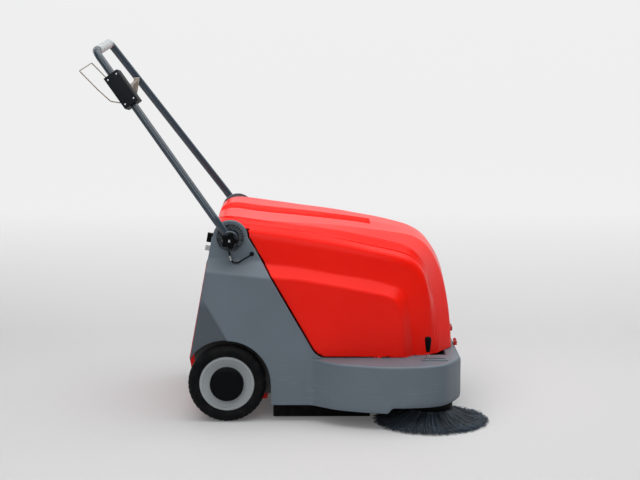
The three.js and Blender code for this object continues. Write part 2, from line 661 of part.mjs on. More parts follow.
// Dirt hopper: an open-topped bin with a scoop front towards the roller
const hopper = {
  proud: 3, cornerZ: 176, footIn: 14, heelIn: 32, bottomRear: 72, floor: 52, topDrop: 84,
  front: 122, lip: 84, frontTop: 118, wall: 4, wallTop: 300, sill: 8,
};
const hopperTop = pivotHeight - hopper.topDrop;
const hopperRearX = (z) => rearX(z) - hopper.proud;
const hopperSide = (inset) => {
  const over = inset ? overrun : 0;
  return [
    [hopperRearX(hopperTop) + inset, hopperTop + over],
    [hopperRearX(hopper.cornerZ) + inset, hopper.cornerZ],
    [rearX(hopper.cornerZ) + hopper.footIn + inset, hopper.bottomRear + inset / 2],
    [rearX(hopper.cornerZ) + hopper.heelIn, hopper.floor + inset],
    [hopper.front - hopper.sill, hopper.floor + inset],
    [hopper.front + over, hopper.lip + inset / 2],
    [hopper.front + over, hopper.wallTop - inset],
    [hopper.frontTop - inset, hopper.wallTop + hopper.sill],
    [hopper.frontTop - inset, hopperTop + over],
  ];
};
// A recess in its rear wall holds the bar that it is pulled out by
const grip = { half: 75, drop: 42, tall: 72, depth: 58, radius: 8, setIn: 2, topGap: 8 };
const gripHigh = hopperTop - grip.drop;
const gripLow = gripHigh - grip.tall;
const recessBlock = (grow) => block(
  hopperRearX(gripLow) - overrun, hopperRearX(gripLow) + grip.depth + grow,
  -grip.half - grow, grip.half + grow, gripLow - grow, gripHigh + grow,
);
add('dirt_hopper', cut(
  sidePrism(hopperSide(0), -hopperHalfWidth, hopperHalfWidth),
  cut(
    sidePrism(hopperSide(hopper.wall), hopper.wall - hopperHalfWidth, hopperHalfWidth - hopper.wall),
    recessBlock(hopper.wall),
  ),
  recessBlock(0),
), redPlastic);
const barZ = gripHigh - grip.topGap - grip.radius;
add('hopper_handle', roundY(grip.radius, fit - grip.half, grip.half - fit,
  hopperRearX(barZ) + grip.setIn + grip.radius, barZ, 20), blackPlastic);

// Filter over the hopper, fan beside it
const filter = { lowDrop: 81, topDrop: 46, half: 200, rear: -14, front: 92, frame: 8 };
const filterLow = pivotHeight - filter.lowDrop;
const filterTop = pivotHeight - filter.topDrop;
const fan = { x: 200, low: 350, high: 420, radius: 62, stem: 30 };
add('filter_panel', join(
  block(filter.rear, filter.front, -filter.half, filter.half, filterLow, filterTop),
  block(filter.rear + filter.frame, filter.front - filter.frame, -earHalfWidth + shellWall + fit,
    earHalfWidth - shellWall - fit, filterTop - filter.frame, filterTop),
), paleGrip);
add('fan_housing', join(
  roundZ(fan.radius, fan.low, fan.high, fan.x, 0, 28),
  block(fan.x - fan.stem, fan.x + fan.stem, -fan.stem, fan.stem,
    chassis.coverTop + fit, fan.low + fan.stem / 2),
), blackPlastic);

// Battery on its tray over the roller
const battery = {
  rear: 275, front: 435, half: 165, floor: 285, top: 470, tray: 6, lip: 25, post: 9, postRise: 12,
};
add('battery_tray', cut(
  block(battery.rear - battery.tray, battery.front + battery.tray / 2, -battery.half - battery.tray,
    battery.half + battery.tray, chassis.coverTop + fit, battery.floor + battery.lip),
  block(battery.rear, battery.front, -battery.half, battery.half,
    battery.floor, battery.floor + battery.lip * 2),
), blackSteel);
const batterySpan = [battery.rear + fit, battery.front - fit, fit - battery.half, battery.half - fit,
  battery.floor + fit, battery.top];
add('battery', join(block(...batterySpan), ...[-1, 1].map((side) => roundZ(battery.post,
  battery.top - battery.post, battery.top + battery.postRise, battery.front - battery.post * 4,
  side * (battery.half - battery.post * 5), 14))), blackPlastic);

// Rubber flaps that keep the dust under the machine
const flap = { low: 3, thick: 4, skirtTop: 96, rearX: 140, rearTop: 92, notchTop: 60 };
const skirtFront = brushX - brushTipRadius - runningGap * 4;
sides.forEach(([name, side]) => {
  const inner = chassisHalfWidth + fit;
  const [y0, y1] = side < 0 ? [-inner - flap.thick, -inner] : [inner, inner + flap.thick];
  add(`skirt_${name}`, sidePrism([
    [base.rear + shellWall, flap.low], [skirtFront, flap.low], [skirtFront, flap.skirtTop],
    [base.rear + shellWall, flap.skirtTop],
  ], y0, y1), blackRubber);
});
add('rear_flap', block(flap.rearX - flap.thick, flap.rearX, fit + plateWall - chassisHalfWidth,
  chassisHalfWidth - plateWall - fit, flap.low * 6, flap.rearTop), blackRubber);
const notchShare = 0.468;     // how far in the side brush reaches there, of its tip radius
const brushEdgeY = brushY + brushTipRadius * notchShare;
add('front_flap', cut(block(chassis.coverFront + fit, chassis.coverFront + flap.thick,
  fit + plateWall - chassisHalfWidth, chassisHalfWidth - plateWall - fit, flap.low,
  chassisDeck - plateWall * 2),
block(chassis.coverFront - overrun, chassis.coverFront + overrun, -bodyHalfWidth,
  brushEdgeY + runningGap * 4, 0, flap.notchTop)), blackRubber);

// Side brush: it hangs on an arm that slides up a post, with its motor on top
const sideBrush = {
  hubRadius: 62, hubLow: 46, hubHigh: 58, bossRadius: 22, motorLow: 70, motorHigh: 106,
  motorRadius: 42, armLow: 106.3, armHigh: 112, armHalf: 16, sleeveRadius: 14, sleeveLow: 86,
  ringOuter: 62, ringInner: 34, ringLow: 40, sliceGap: 0.4,
};
add('brush_arm', cut(join(
  planPrism([
    [postX - sideBrush.armHalf, postY],
    [brushX - sideBrush.armHalf, brushY - sideBrush.armHalf],
    [brushX + sideBrush.armHalf, brushY - sideBrush.armHalf],
    [postX + sideBrush.armHalf, postY],
  ], sideBrush.armLow, sideBrush.armHigh),
  roundZ(sideBrush.sleeveRadius, sideBrush.sleeveLow, sideBrush.armHigh + sideBrush.armHalf / 2,
    postX, postY, 20),
), roundZ(chassis.postRadius + fit, 0, deckHeight, postX, postY, 16)), blackSteel);
add('side_brush_motor', roundZ(
  sideBrush.motorRadius, sideBrush.motorLow, sideBrush.motorHigh, brushX, brushY, 24,
), blackSteel);
add('brush_hub', join(
  roundZ(sideBrush.hubRadius, sideBrush.hubLow, sideBrush.hubHigh, brushX, brushY, 28),
  roundZ(sideBrush.bossRadius, sideBrush.hubHigh - fit, sideBrush.motorLow - fit,
    brushX, brushY, 20),
), blackPlastic);

// Bristles: strands in rings on four slices of a backing ring. A strand leaves the backing
// outwards and down, and turns flatter towards its tip; the strands of one ring lean alike.
const bristles = { radius: 1.3, tipLow: 2, rowDrop: 2.4, rowReach: 26, sink: 4 };
const strandCount = { slices: 4, rings: 4, perRing: 19, sides: 3 };
const marginShare = 0.03;     // how much of a slice is left free at each end
const bendShare = 0.42;       // how far out along its reach a strand bends
const innerDropShare = 0.8;   // how much of its drop a strand of the inner row has made there
const outerDropShare = 0.62;  // and one of the outer row
const sweepTurn = 0.1;        // how far its tip trails round the hub, in radians
const strand = (angle, ringShare) => {
  const rootStep = (sideBrush.ringOuter - sideBrush.ringInner) / (strandCount.rings + 1);
  const rootR = sideBrush.ringInner + rootStep * (1 + ringShare * (strandCount.rings - 1));
  const reach = brushTipRadius - (1 - ringShare) * bristles.rowReach;
  const rootZ = sideBrush.ringLow + bristles.sink;
  const tipZ = bristles.tipLow + (1 - ringShare) * bristles.rowDrop;
  const section = (r, a, z, flat) => Array.from({ length: strandCount.sides }, (_, k) => {
    const turn = (2 * Math.PI * k) / strandCount.sides;
    const across = bristles.radius * Math.cos(turn);
    const up = bristles.radius * Math.sin(turn);
    const out = r + up * (1 - flat);
    return [
      brushX + out * Math.cos(a) - across * Math.sin(a),
      brushY + out * Math.sin(a) + across * Math.cos(a),
      z + up * flat,
    ];
  });
  const bendR = rootR + (reach - rootR) * bendShare;
  const dropShare = innerDropShare + (outerDropShare - innerDropShare) * ringShare;
  const bendZ = rootZ - (rootZ - tipZ) * dropShare;
  const tipTurn = angle + sweepTurn;
  return faced(loft([section(rootR, angle, rootZ, 0), section(bendR, angle + sweepTurn / 4, bendZ, 1)],
    [brushX + reach * Math.cos(tipTurn), brushY + reach * Math.sin(tipTurn), tipZ]));
};
const bristleSlice = (slice) => {
  const span = (2 * Math.PI) / strandCount.slices;
  const from = slice * span + sideBrush.sliceGap / sideBrush.ringInner;
  const to = (slice + 1) * span - sideBrush.sliceGap / sideBrush.ringInner;
  const steps = 6;
  const arc = (r, a0, a1) => Array.from({ length: steps + 1 }, (_, i) => {
    const a = a0 + ((a1 - a0) * i) / steps;
    return [brushX + r * Math.cos(a), brushY + r * Math.sin(a)];
  });
  const backing = planPrism([
    ...arc(sideBrush.ringOuter, from, to), ...arc(sideBrush.ringInner, to, from),
  ], sideBrush.ringLow, sideBrush.hubLow - fit);
  const strands = [];
  for (let row = 0; row < strandCount.rings; row += 1) {
    for (let i = 0; i < strandCount.perRing; i += 1) {
      const margin = span * marginShare;
      const step = (span - margin * 2) / strandCount.perRing;
      const angle = slice * span + margin + step * (i + (row + 0.5) / strandCount.rings);
      strands.push(strand(angle, row / (strandCount.rings - 1)));
    }
  }
  return join(backing, ...strands);
};
for (let slice = 0; slice < strandCount.slices; slice += 1) {
  add(`bristles_${slice + 1}`, bristleSlice(slice), bristleBlue);
}

// Lever that lifts the side brush, in its slotted plate
const leverPlate = () => {
  const outer = [lever.slotRear - lever.plateSkirt, lever.slotFront + lever.plateSkirt];
  const half = lever.cheekHalf + lever.plateSkirt;
  const inner = lever.cheekHalf - lever.cheekThick;
  const cheek = (y0, y1) => block(lever.x - lever.cheekHalf, lever.x + lever.cheekHalf, y0, y1,
    lever.pivotZ - lever.eyeRadius, deckHeight + fit * 2);
  return cut(join(
    block(...outer, lever.y - half, lever.y + half,
      deckHeight + fit, deckHeight + fit + lever.plateThick),
    cheek(lever.y - lever.cheekHalf, lever.y - inner),
    cheek(lever.y + inner, lever.y + lever.cheekHalf),
    roundY(lever.pinRadius, lever.y - lever.cheekHalf + fit, lever.y + lever.cheekHalf - fit,
      lever.x, lever.pivotZ, 12),
  ), block(lever.slotRear, lever.slotFront, lever.y - lever.slotHalf, lever.y + lever.slotHalf,
    deckHeight - fit, deckHeight + overrun));
};
add('lever_plate', leverPlate(), blackSteel);
add('lever_shaft', cut(
  join(
    roundY(lever.eyeRadius, lever.y - lever.shaftRadius, lever.y + lever.shaftRadius,
      lever.x, lever.pivotZ, 16),
    roundZ(lever.shaftRadius, lever.pivotZ + lever.pinRadius, lever.gripLow - fit,
      lever.x, lever.y, 12),
  ),
  roundY(lever.pinRadius + fit, lever.y - overrun, lever.y + overrun, lever.x, lever.pivotZ, 12),
), brightSteel);
add('lever_grip', turnedZ([
  [0, lever.gripLow], [lever.gripLowRadius - lever.pinRadius / 2, lever.gripLow],
  [lever.gripLowRadius, lever.gripLow + lever.pinRadius],
  [lever.gripTopRadius, lever.gripTop - lever.gripTopRadius],
  [lever.gripTopRadius * 0.8, lever.gripTop - lever.pinRadius], [0, lever.gripTop],
], 16).translate(lever.x, lever.y, 0), blackPlastic);

// Handle: one bent tube with a lug at each end, clamped on toothed rings outside the ears
const handle = {
  bend: 26, gripHalf: 150, gripWall: 3, boxLength: 107, boxWidth: 47, boxDepth: 58,
  coverDepth: 7, corner: 9, rodRadius: 4, bracketY: 168, bracketThick: 4,
};
const kneeShare = 0.11;       // where the tube bends inwards, between its foot and its head
const boxShare = 0.68;        // where the switch box starts, between the knee and the head
const rodShare = 0.761;       // where the cross rod passes
const ringOut = earHalfWidth + fit + pivot.ringDepth;
const lugOut = ringOut + fit + pivot.lugDepth;
const tubeY = ringOut + fit + pivot.lugDepth / 2;
const tubeFoot = (side) => new THREE.Vector3(pivotX, side * tubeY, pivotHeight);
const tubeKnee = (side) => {
  const knee = tubeFoot(side).lerp(tubeHead(side), kneeShare);
  return new THREE.Vector3(knee.x, side * tubeY, knee.z);
};
const tubeHead = (side) => new THREE.Vector3(handleBarX, side * handleBarHalf, handleBarHeight);
const handleTube = () => {
  const path = [tubeFoot(-1), tubeKnee(-1), tubeHead(-1), tubeHead(1), tubeKnee(1), tubeFoot(1)]
    .map((p) => p.toArray());
  const lug = (y0, y1) => roundY(pivot.lugRadius, y0, y1, pivotX, pivotHeight, 24);
  const lugs = [lug(-lugOut, -ringOut - fit), lug(ringOut + fit, lugOut)];
  const hole = roundY(pivot.boltRadius + fit, -lugOut - overrun, lugOut + overrun,
    pivotX, pivotHeight, 14);
  return cut(join(bar(path, handleTubeRadius, handle.bend, 12, 4), ...lugs), hole);
};
add('handle_tube', handleTube(), slatePaint);
add('handle_grip', turnedY([
  [handleTubeRadius + fit, -handle.gripHalf], [handleTubeRadius + handle.gripWall, -handle.gripHalf],
  [handleTubeRadius + handle.gripWall, handle.gripHalf], [handleTubeRadius + fit, handle.gripHalf],
  [handleTubeRadius + fit, -handle.gripHalf],
], 16).translate(handleBarX, 0, handleBarHeight), paleGrip);

// Pieces on a tube are drawn along Z and then laid along the tube
const alongTube = (geometry, side, share) => {
  const knee = tubeKnee(side);
  const along = tubeHead(side).sub(knee);
  const place = knee.clone().add(along.clone().multiplyScalar(share));
  along.normalize();
  const across = new THREE.Vector3(0, 1, 0).addScaledVector(along, -along.y).normalize();
  const out = across.clone().cross(along).normalize();
  return geometry.applyMatrix4(new THREE.Matrix4().makeBasis(out, across, along))
    .translate(place.x, place.y, place.z);
};
const roundedBlock = (halfX, y0, y1, length, corner) => {
  const shape = new THREE.Shape();
  const middle = (y0 + y1) / 2;
  const halfY = (y1 - y0) / 2;
  shape.moveTo(-halfX + corner, middle - halfY);
  shape.lineTo(halfX - corner, middle - halfY);
  shape.absarc(halfX - corner, middle - halfY + corner, corner, -Math.PI / 2, 0);
  shape.absarc(halfX - corner, middle + halfY - corner, corner, 0, Math.PI / 2);
  shape.absarc(-halfX + corner, middle + halfY - corner, corner, Math.PI / 2, Math.PI);
  shape.absarc(-halfX + corner, middle - halfY + corner, corner, Math.PI, 1.5 * Math.PI);
  return new THREE.ExtrudeGeometry(shape, { depth: length, bevelEnabled: false, curveSegments: 3 });
};
const tubeBore = (length) => new THREE.CylinderGeometry(handleTubeRadius + fit, handleTubeRadius + fit,
  length + 2 * overrun, 20).rotateX(Math.PI / 2).translate(0, 0, length / 2);
const boxFace = handle.boxDepth / 2 + handle.coverDepth / 2;
// The bail's places are lengths along the handle tube and out behind it, in side view
const bail = {
  pivotOut: 31, half: 150, wireRadius: 1.8, bend: 7, pinOut: 7, riseAlong: 26.7, riseOut: 57.3,
  kneeAlong: 76, kneeOut: 67.1, endAlong: 150.3, endOut: 77.1, holeGap: 0.5,
};
const bailShare = 0.714;      // where its pivot is, between the knee and the head
const besideTube = (along, out) => {
  const knee = tubeKnee(1);
  const run = tubeHead(1).sub(knee).setY(0);
  const start = knee.addScaledVector(run, bailShare);
  run.normalize();
  return [start.x + run.x * along - run.z * out, start.z + run.z * along + run.x * out];
};
const [bailX, bailZ] = besideTube(0, bail.pivotOut);
const bailHoleHalf = handle.bracketY + overrun;
const bailHole = roundY(bail.wireRadius + bail.holeGap, -bailHoleHalf, bailHoleHalf,
  bailX, bailZ, 12);
add('switch_box', cut(alongTube(cut(
  roundedBlock(handle.boxWidth / 2, handle.coverDepth - boxFace, boxFace,
    handle.boxLength, handle.corner),
  tubeBore(handle.boxLength),
), -1, boxShare), bailHole), blackPlastic);
add('switch_box_cover', alongTube(
  roundedBlock(handle.boxWidth / 2, -boxFace, handle.coverDepth - boxFace - fit, handle.boxLength,
    handle.coverDepth / 3), -1, boxShare), paleCover);

const rodPlace = tubeKnee(1).lerp(tubeHead(1), rodShare);
const bracketSide = () => {
  const reach = handle.rodRadius * 2;
  return [[bailX - reach, bailZ - reach], [bailX + reach, bailZ - reach],
    [rodPlace.x + reach, rodPlace.z], [rodPlace.x + reach, rodPlace.z + reach],
    [rodPlace.x - reach, rodPlace.z + reach], [bailX - reach, bailZ + reach]];
};
const crossRod = () => {
  const boxInner = rodPlace.y - handle.boxDepth / 2 - handleTubeRadius / 2;
  return cut(join(
    roundY(handle.rodRadius, -boxInner + handle.bracketThick,
      rodPlace.y - handleTubeRadius - handle.rodRadius / 4, rodPlace.x, rodPlace.z, 12),
    sidePrism(bracketSide(), handle.bracketY, handle.bracketY + handle.bracketThick),
  ), bailHole);
};
add('cross_rod', crossRod(), brightSteel);
const bailPoints = () => {
  const turns = [[0, bail.pivotOut], [bail.riseAlong, bail.riseOut], [bail.kneeAlong, bail.kneeOut],
    [bail.endAlong, bail.endOut]].map(([along, out]) => besideTube(along, out));
  const leg = (side) => [[bailX, side * (handle.bracketY + bail.pinOut), bailZ],
    ...turns.map(([x, z]) => [x, side * bail.half, z])];
  return [...leg(-1), ...leg(1).reverse()];
};
add('bail_wire', bar(bailPoints(), bail.wireRadius, bail.bend, 6, 3), brightSteel);

// Toothed rings on the ears, and the knobs that clamp the handle on them
const toothCount = 28;
const toothedOutline = () => Array.from({ length: toothCount * 2 }, (_, i) => {
  const angle = (2 * Math.PI * (i + 0.5)) / (toothCount * 2);
  const radius = i % 2 < 1 ? pivot.ringRadius : pivot.ringRadius - pivot.boltRadius / 3;
  return [pivotX + radius * Math.cos(angle), pivotHeight + radius * Math.sin(angle)];
});
const knob = { depth: 30, radius: 22, lobe: 3, lobes: 5, collar: 13, collarDepth: 8 };
const knobOutline = () => Array.from({ length: knob.lobes * 6 }, (_, i) => {
  const angle = (2 * Math.PI * i) / (knob.lobes * 6);
  const radius = knob.radius + knob.lobe * Math.cos(knob.lobes * angle);
  return [pivotX + radius * Math.cos(angle), pivotHeight + radius * Math.sin(angle)];
});
sides.forEach(([name, side]) => {
  const toothed = cut(sidePrism(toothedOutline(), earHalfWidth + fit, ringOut),
    roundY(pivot.boltRadius + fit, earHalfWidth - overrun, ringOut + overrun, pivotX, pivotHeight, 14));
  add(`tooth_ring_${name}`, onSide(toothed, side), blackPlastic);
  const clamp = join(
    roundY(knob.collar, lugOut + fit, lugOut + knob.collarDepth, pivotX, pivotHeight, 18),
    sidePrism(knobOutline(), lugOut + knob.collarDepth - fit, lugOut + knob.depth),
    roundY(pivot.boltRadius, earHalfWidth - shellWall - fit, lugOut + knob.collarDepth,
      pivotX, pivotHeight, 14),
  );
  add(`clamp_knob_${name}`, onSide(clamp, side), blackPlastic);
});

// Short control cable from the toothed ring to the hole in the ear
const cable = { radius: 2.2, standOff: 10, bend: 5 };
const cableY = -earHalfWidth - cable.standOff;
// Its route in side view, each point from the handle's pivot
const cableRun = [[-4, -40], [1, -59], [6, -69.5], [20, -72], [42, -60.5], [61, -49]];
const cableEnd = [61.5, -48.7];
const cablePoints = [
  ...cableRun.map(([x, z]) => [pivotX + x, cableY, pivotHeight + z]),
  [pivotX + cableEnd[0], -earHalfWidth - fit * 2, pivotHeight + cableEnd[1]],
];
add('control_cable', bar(cablePoints, cable.radius, cable.bend, 8, 2), blackRubber);

// Hood: lines that run from its rear to its front lip, each inside the one above it.
// Each point is a share of the hood's length, half width and height.
const hoodShares = {
  crest: [[0, 0, 0.896], [0.007, 0, 0.96], [0.056, 0, 1], [0.176, 0, 0.973], [0.349, 0, 0.943],
    [0.52, 0, 0.91], [0.649, 0, 0.878], [0.779, 0, 0.831], [0.851, 0, 0.784], [0.906, 0, 0.704],
    [0.946, 0, 0.572], [0.973, 0, 0.386], [0.991, 0, 0.192], [1, 0, -0.01]],
  plateau: [[0, 0.421, 0.896], [0.009, 0.526, 0.955], [0.056, 0.674, 0.99], [0.226, 0.712, 0.958],
    [0.349, 0.632, 0.935], [0.52, 0.526, 0.903], [0.641, 0.495, 0.871], [0.726, 0.439, 0.846],
    [0.829, 0.351, 0.801], [0.88, 0.344, 0.741], [0.917, 0.365, 0.652], [0.949, 0.404, 0.522],
    [0.97, 0.449, 0.361], [0.983, 0.491, 0.179], [0.989, 0.526, -0.01]],
  step: [[0.004, 0.723, 0.896], [0.017, 0.73, 0.955], [0.066, 0.733, 0.973], [0.227, 0.726, 0.948],
    [0.351, 0.723, 0.925], [0.517, 0.719, 0.886], [0.641, 0.719, 0.841], [0.724, 0.716, 0.808],
    [0.787, 0.705, 0.774], [0.823, 0.698, 0.736], [0.851, 0.688, 0.682], [0.874, 0.681, 0.612],
    [0.894, 0.677, 0.5], [0.911, 0.674, 0.373], [0.924, 0.688, 0.226], [0.934, 0.723, -0.01]],
  groove: [[0.009, 0.786, 0.896], [0.023, 0.793, 0.93], [0.069, 0.8, 0.945], [0.227, 0.796, 0.92],
    [0.351, 0.793, 0.891], [0.517, 0.789, 0.841], [0.641, 0.786, 0.791], [0.724, 0.779, 0.759],
    [0.791, 0.765, 0.724], [0.827, 0.747, 0.689], [0.854, 0.733, 0.642], [0.873, 0.726, 0.582],
    [0.89, 0.723, 0.473], [0.906, 0.723, 0.361], [0.919, 0.733, 0.224], [0.929, 0.765, -0.01]],
  shoulder: [[0.014, 0.877, 0.871], [0.077, 0.877, 0.9], [0.229, 0.877, 0.876],
    [0.351, 0.877, 0.841], [0.516, 0.877, 0.794], [0.64, 0.877, 0.751], [0.723, 0.874, 0.721],
    [0.791, 0.863, 0.682], [0.831, 0.849, 0.637], [0.857, 0.839, 0.582], [0.877, 0.835, 0.498],
    [0.889, 0.835, 0.373], [0.891, 0.842, 0.224], [0.891, 0.853, -0.01]],
  ledgeTop: [[0.02, 0.895, 0.697], [0.22, 0.895, 0.662], [0.351, 0.895, 0.637],
    [0.516, 0.895, 0.585], [0.64, 0.895, 0.55], [0.723, 0.895, 0.512], [0.763, 0.895, 0.483],
    [0.79, 0.895, 0.428], [0.803, 0.895, 0.336], [0.811, 0.895, 0.219], [0.821, 0.891, -0.01]],
  ledgeLow: [[0.026, 1, 0.622], [0.257, 1, 0.575], [0.351, 1, 0.56], [0.496, 1, 0.517],
    [0.619, 1, 0.475], [0.713, 1, 0.438], [0.744, 1, 0.408], [0.763, 1, 0.348], [0.773, 1, 0.249],
    [0.783, 1, -0.01]],
  foot: [[0.026, 1, -0.01], [0.406, 1, -0.01], [0.763, 1, -0.01]],
};
const hoodStations = 23;
const hoodCut = { rise: 22, foldBack: 200 };
const hoodRearTop = pivotHeight + hoodCut.rise;
const pocket = { front: 416, half: 40, depth: 18, floor: 4 };
const pocketShares = { rear: 0.995, front: 0.878 };   // of the hood's height
const pocketRearZ = hoodBottom + hoodHeight * pocketShares.rear;
const pocketFrontZ = hoodBottom + hoodHeight * pocketShares.front;
const hoodLine = (shares, side) => {
  const points = shares.map(([along, out, up]) => new THREE.Vector3(
    hoodRear + along * hoodLength, side * out * hoodHalfWidth, hoodBottom + up * hoodHeight));
  return new THREE.CatmullRomCurve3(points, false, 'centripetal').getSpacedPoints(hoodStations);
};
const hoodOrder = ['foot', 'ledgeLow', 'ledgeTop', 'shoulder', 'groove', 'step', 'plateau', 'crest'];
const hoodGrid = () => {
  const right = hoodOrder.map((name) => hoodLine(hoodShares[name], -1));
  const left = hoodOrder.slice(0, -1).reverse().map((name) => hoodLine(hoodShares[name], 1));
  return [...right, ...left];
};
// The skin's points, each moved inwards by the wall along the mean normal of its cells
const insideGrid = (grid, wall) => {
  const at = (i, j) => grid[Math.min(Math.max(i, 0), grid.length - 1)][
    Math.min(Math.max(j, 0), grid[0].length - 1)];
  return grid.map((line, i) => line.map((point, j) => {
    const across = at(i + 1, j).clone().sub(at(i - 1, j));
    const along = at(i, j + 1).clone().sub(at(i, j - 1));
    const normal = along.cross(across).normalize();
    return point.clone().addScaledVector(normal, wall);
  }));
};
const shellOf = (outer, inner) => {
  const rows = outer.length;
  const columns = outer[0].length;
  const position = [...outer.flat(), ...inner.flat()].flatMap((p) => p.toArray());
  const index = [];
  const quad = (a, b, c, d) => index.push(a, b, c, a, c, d);
  const o = (i, j) => i * columns + j;
  const n = (i, j) => rows * columns + i * columns + j;
  for (let i = 0; i < rows - 1; i += 1) {
    for (let j = 0; j < columns - 1; j += 1) {
      quad(o(i, j), o(i, j + 1), o(i + 1, j + 1), o(i + 1, j));
      quad(n(i, j), n(i + 1, j), n(i + 1, j + 1), n(i, j + 1));
    }
    quad(o(i, 0), o(i + 1, 0), n(i + 1, 0), n(i, 0));
    quad(o(i + 1, columns - 1), o(i, columns - 1), n(i, columns - 1), n(i + 1, columns - 1));
  }
  for (let j = 0; j < columns - 1; j += 1) {
    quad(o(0, j + 1), o(0, j), n(0, j), n(0, j + 1));
    quad(o(rows - 1, j), o(rows - 1, j + 1), n(rows - 1, j + 1), n(rows - 1, j));
  }
  const geometry = new THREE.BufferGeometry();
  geometry.setAttribute('position', new THREE.Float32BufferAttribute(position, 3));
  geometry.setIndex(index);
  return faced(geometry);
};
const hinge = { ahead: 7, rise: 9, y: 100, knuckleRadius: 5, pinRadius: 2, half: 10, arm: 21 };
const hingeX = hoodRear + hoodLength + hinge.ahead;
const hingeZ = deckHeight + hinge.rise;
const hoodHinge = (y) => {
  const outer = hinge.half * 2 + fit;
  const leafTop = hingeZ - hinge.knuckleRadius - fit;
  const leaf = block(hingeX - hinge.knuckleRadius, hingeX + hinge.knuckleRadius - fit,
    y - outer, y + outer, deckHeight + fit, leafTop);
  const knuckle = (y0, y1) => [
    roundY(hinge.knuckleRadius, y0, y1, hingeX, hingeZ, 14),
    block(hingeX - hinge.pinRadius, hingeX + hinge.pinRadius, y0, y1,
      deckHeight + fit * 2, hingeZ),
  ];
  return join(leaf, ...knuckle(y - outer, y - hinge.half - fit),
    ...knuckle(y + hinge.half + fit, y + outer),
    roundY(hinge.pinRadius, y - outer + fit, y + outer - fit, hingeX, hingeZ, 10));
};
const hoodShell = () => {
  const outer = hoodGrid();
  const skin = shellOf(outer, insideGrid(outer, hoodWall));
  const width = hoodHalfWidth + overrun;
  const foot = seamFoot(hoodOpenGap).reverse();
  const behindSeam = sidePrism([
    [-hoodCut.foldBack, 0], [foot[0][0], 0], ...foot,
    [seamX(pivotHeight) + hoodOpenGap, pivotHeight],
    [seamX(pivotHeight) + hoodOpenGap, hoodRearTop], [-hoodCut.foldBack, hoodRearTop],
  ], -width, width);
  const below = block(-hoodCut.foldBack, baseFront + overrun, -width, width, 0, hoodBottom);
  const fall = (pocketFrontZ - pocketRearZ) / pocket.front;
  const top = (x) => pocketRearZ + fall * x;
  const channel = (depth, grow, rear, height) => sidePrism([
    [rear, top(rear) - depth], [pocket.front + grow, top(pocket.front + grow) - depth],
    [pocket.front + grow, top(pocket.front + grow) + height], [rear, top(rear) + height],
  ], -pocket.half - grow, pocket.half + grow);
  const tray = keepInside(
    channel(pocket.depth + pocket.floor, pocket.floor, hoodRear - overrun, overrun),
    solidInside(insideGrid(outer, hoodWall / 2)),
  );
  const arms = [-1, 1].map((side) => block(hingeX - hinge.arm, hingeX,
    side * hinge.y - hinge.half, side * hinge.y + hinge.half,
    hingeZ - hinge.knuckleRadius / 2, hingeZ + hinge.knuckleRadius / 2));
  const knuckles = [-1, 1].map((side) => roundY(hinge.knuckleRadius, side * hinge.y - hinge.half,
    side * hinge.y + hinge.half, hingeX, hingeZ, 14));
  const pins = [-1, 1].map((side) => roundY(hinge.pinRadius + fit, side * hinge.y - hinge.half - fit,
    side * hinge.y + hinge.half + fit, hingeX, hingeZ, 10));
  const shell = cut(join(skin, tray), channel(pocket.depth, 0, hoodRear - overrun * 2, overrun * 2),
    behindSeam, below);
  return cut(join(shell, ...arms, ...knuckles), ...pins);
};
// The whole volume under the hood's skin, closed by a flat floor and back
const solidInside = (grid) => {
  const floor = grid.map((line) => line.map((p) => new THREE.Vector3(
    Math.min(p.x, hoodRear + hoodLength - overrun), p.y * 0.5, hoodBottom - overrun * 2)));
  return shellOf(grid, floor);
};
add('hood', hoodShell(), redPlastic);
sides.forEach(([name, side]) => add(`hood_hinge_${name}`, hoodHinge(side * hinge.y), brightSteel));

// The origin is the middle of the footprint: from the bail to the side brush's tips in length,
// and from those tips to the left clamp knob in width
const rearReach = besideTube(bail.endAlong, bail.endOut)[0] - bail.wireRadius;
const frontReach = brushX + brushTipRadius;
const rightReach = brushY - brushTipRadius;
const leftReach = lugOut + knob.depth;
machine.position.set(-(rearReach + frontReach) / 2, -(rightReach + leftReach) / 2, 0);

export default group;
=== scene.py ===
# Walk-behind sweeper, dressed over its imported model. Metres, in the model's own frame.
import math
import bpy
import bmesh
import numpy as np
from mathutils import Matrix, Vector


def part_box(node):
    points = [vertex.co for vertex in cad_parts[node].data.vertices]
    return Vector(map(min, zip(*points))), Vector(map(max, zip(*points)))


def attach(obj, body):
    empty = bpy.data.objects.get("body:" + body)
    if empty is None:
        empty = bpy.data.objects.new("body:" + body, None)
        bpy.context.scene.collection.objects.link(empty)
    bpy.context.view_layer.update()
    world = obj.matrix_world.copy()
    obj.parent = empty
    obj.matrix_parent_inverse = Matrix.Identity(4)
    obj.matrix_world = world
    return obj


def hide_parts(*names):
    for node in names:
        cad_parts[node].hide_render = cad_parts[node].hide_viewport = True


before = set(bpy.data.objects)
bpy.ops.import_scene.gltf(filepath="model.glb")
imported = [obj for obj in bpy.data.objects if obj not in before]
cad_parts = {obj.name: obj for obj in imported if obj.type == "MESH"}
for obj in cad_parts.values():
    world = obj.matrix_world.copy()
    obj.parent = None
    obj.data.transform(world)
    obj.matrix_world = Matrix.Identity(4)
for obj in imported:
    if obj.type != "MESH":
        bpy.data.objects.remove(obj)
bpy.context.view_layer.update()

rng = np.random.default_rng(7)
print("sweeper: model loaded")

# Places are given from the rear axle's middle on the floor: +X is the front, -Y the side in the photo
tyreLow, tyreHigh = np.array(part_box("tyre_right"))
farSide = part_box("tyre_left")[1][1]
axleX = (tyreLow[0] + tyreHigh[0]) / 2
middleY = (tyreLow[1] + farSide) / 2
origin = np.array([axleX, middleY, 0.0])
wheelRadius = (tyreHigh[2] - tyreLow[2]) / 2


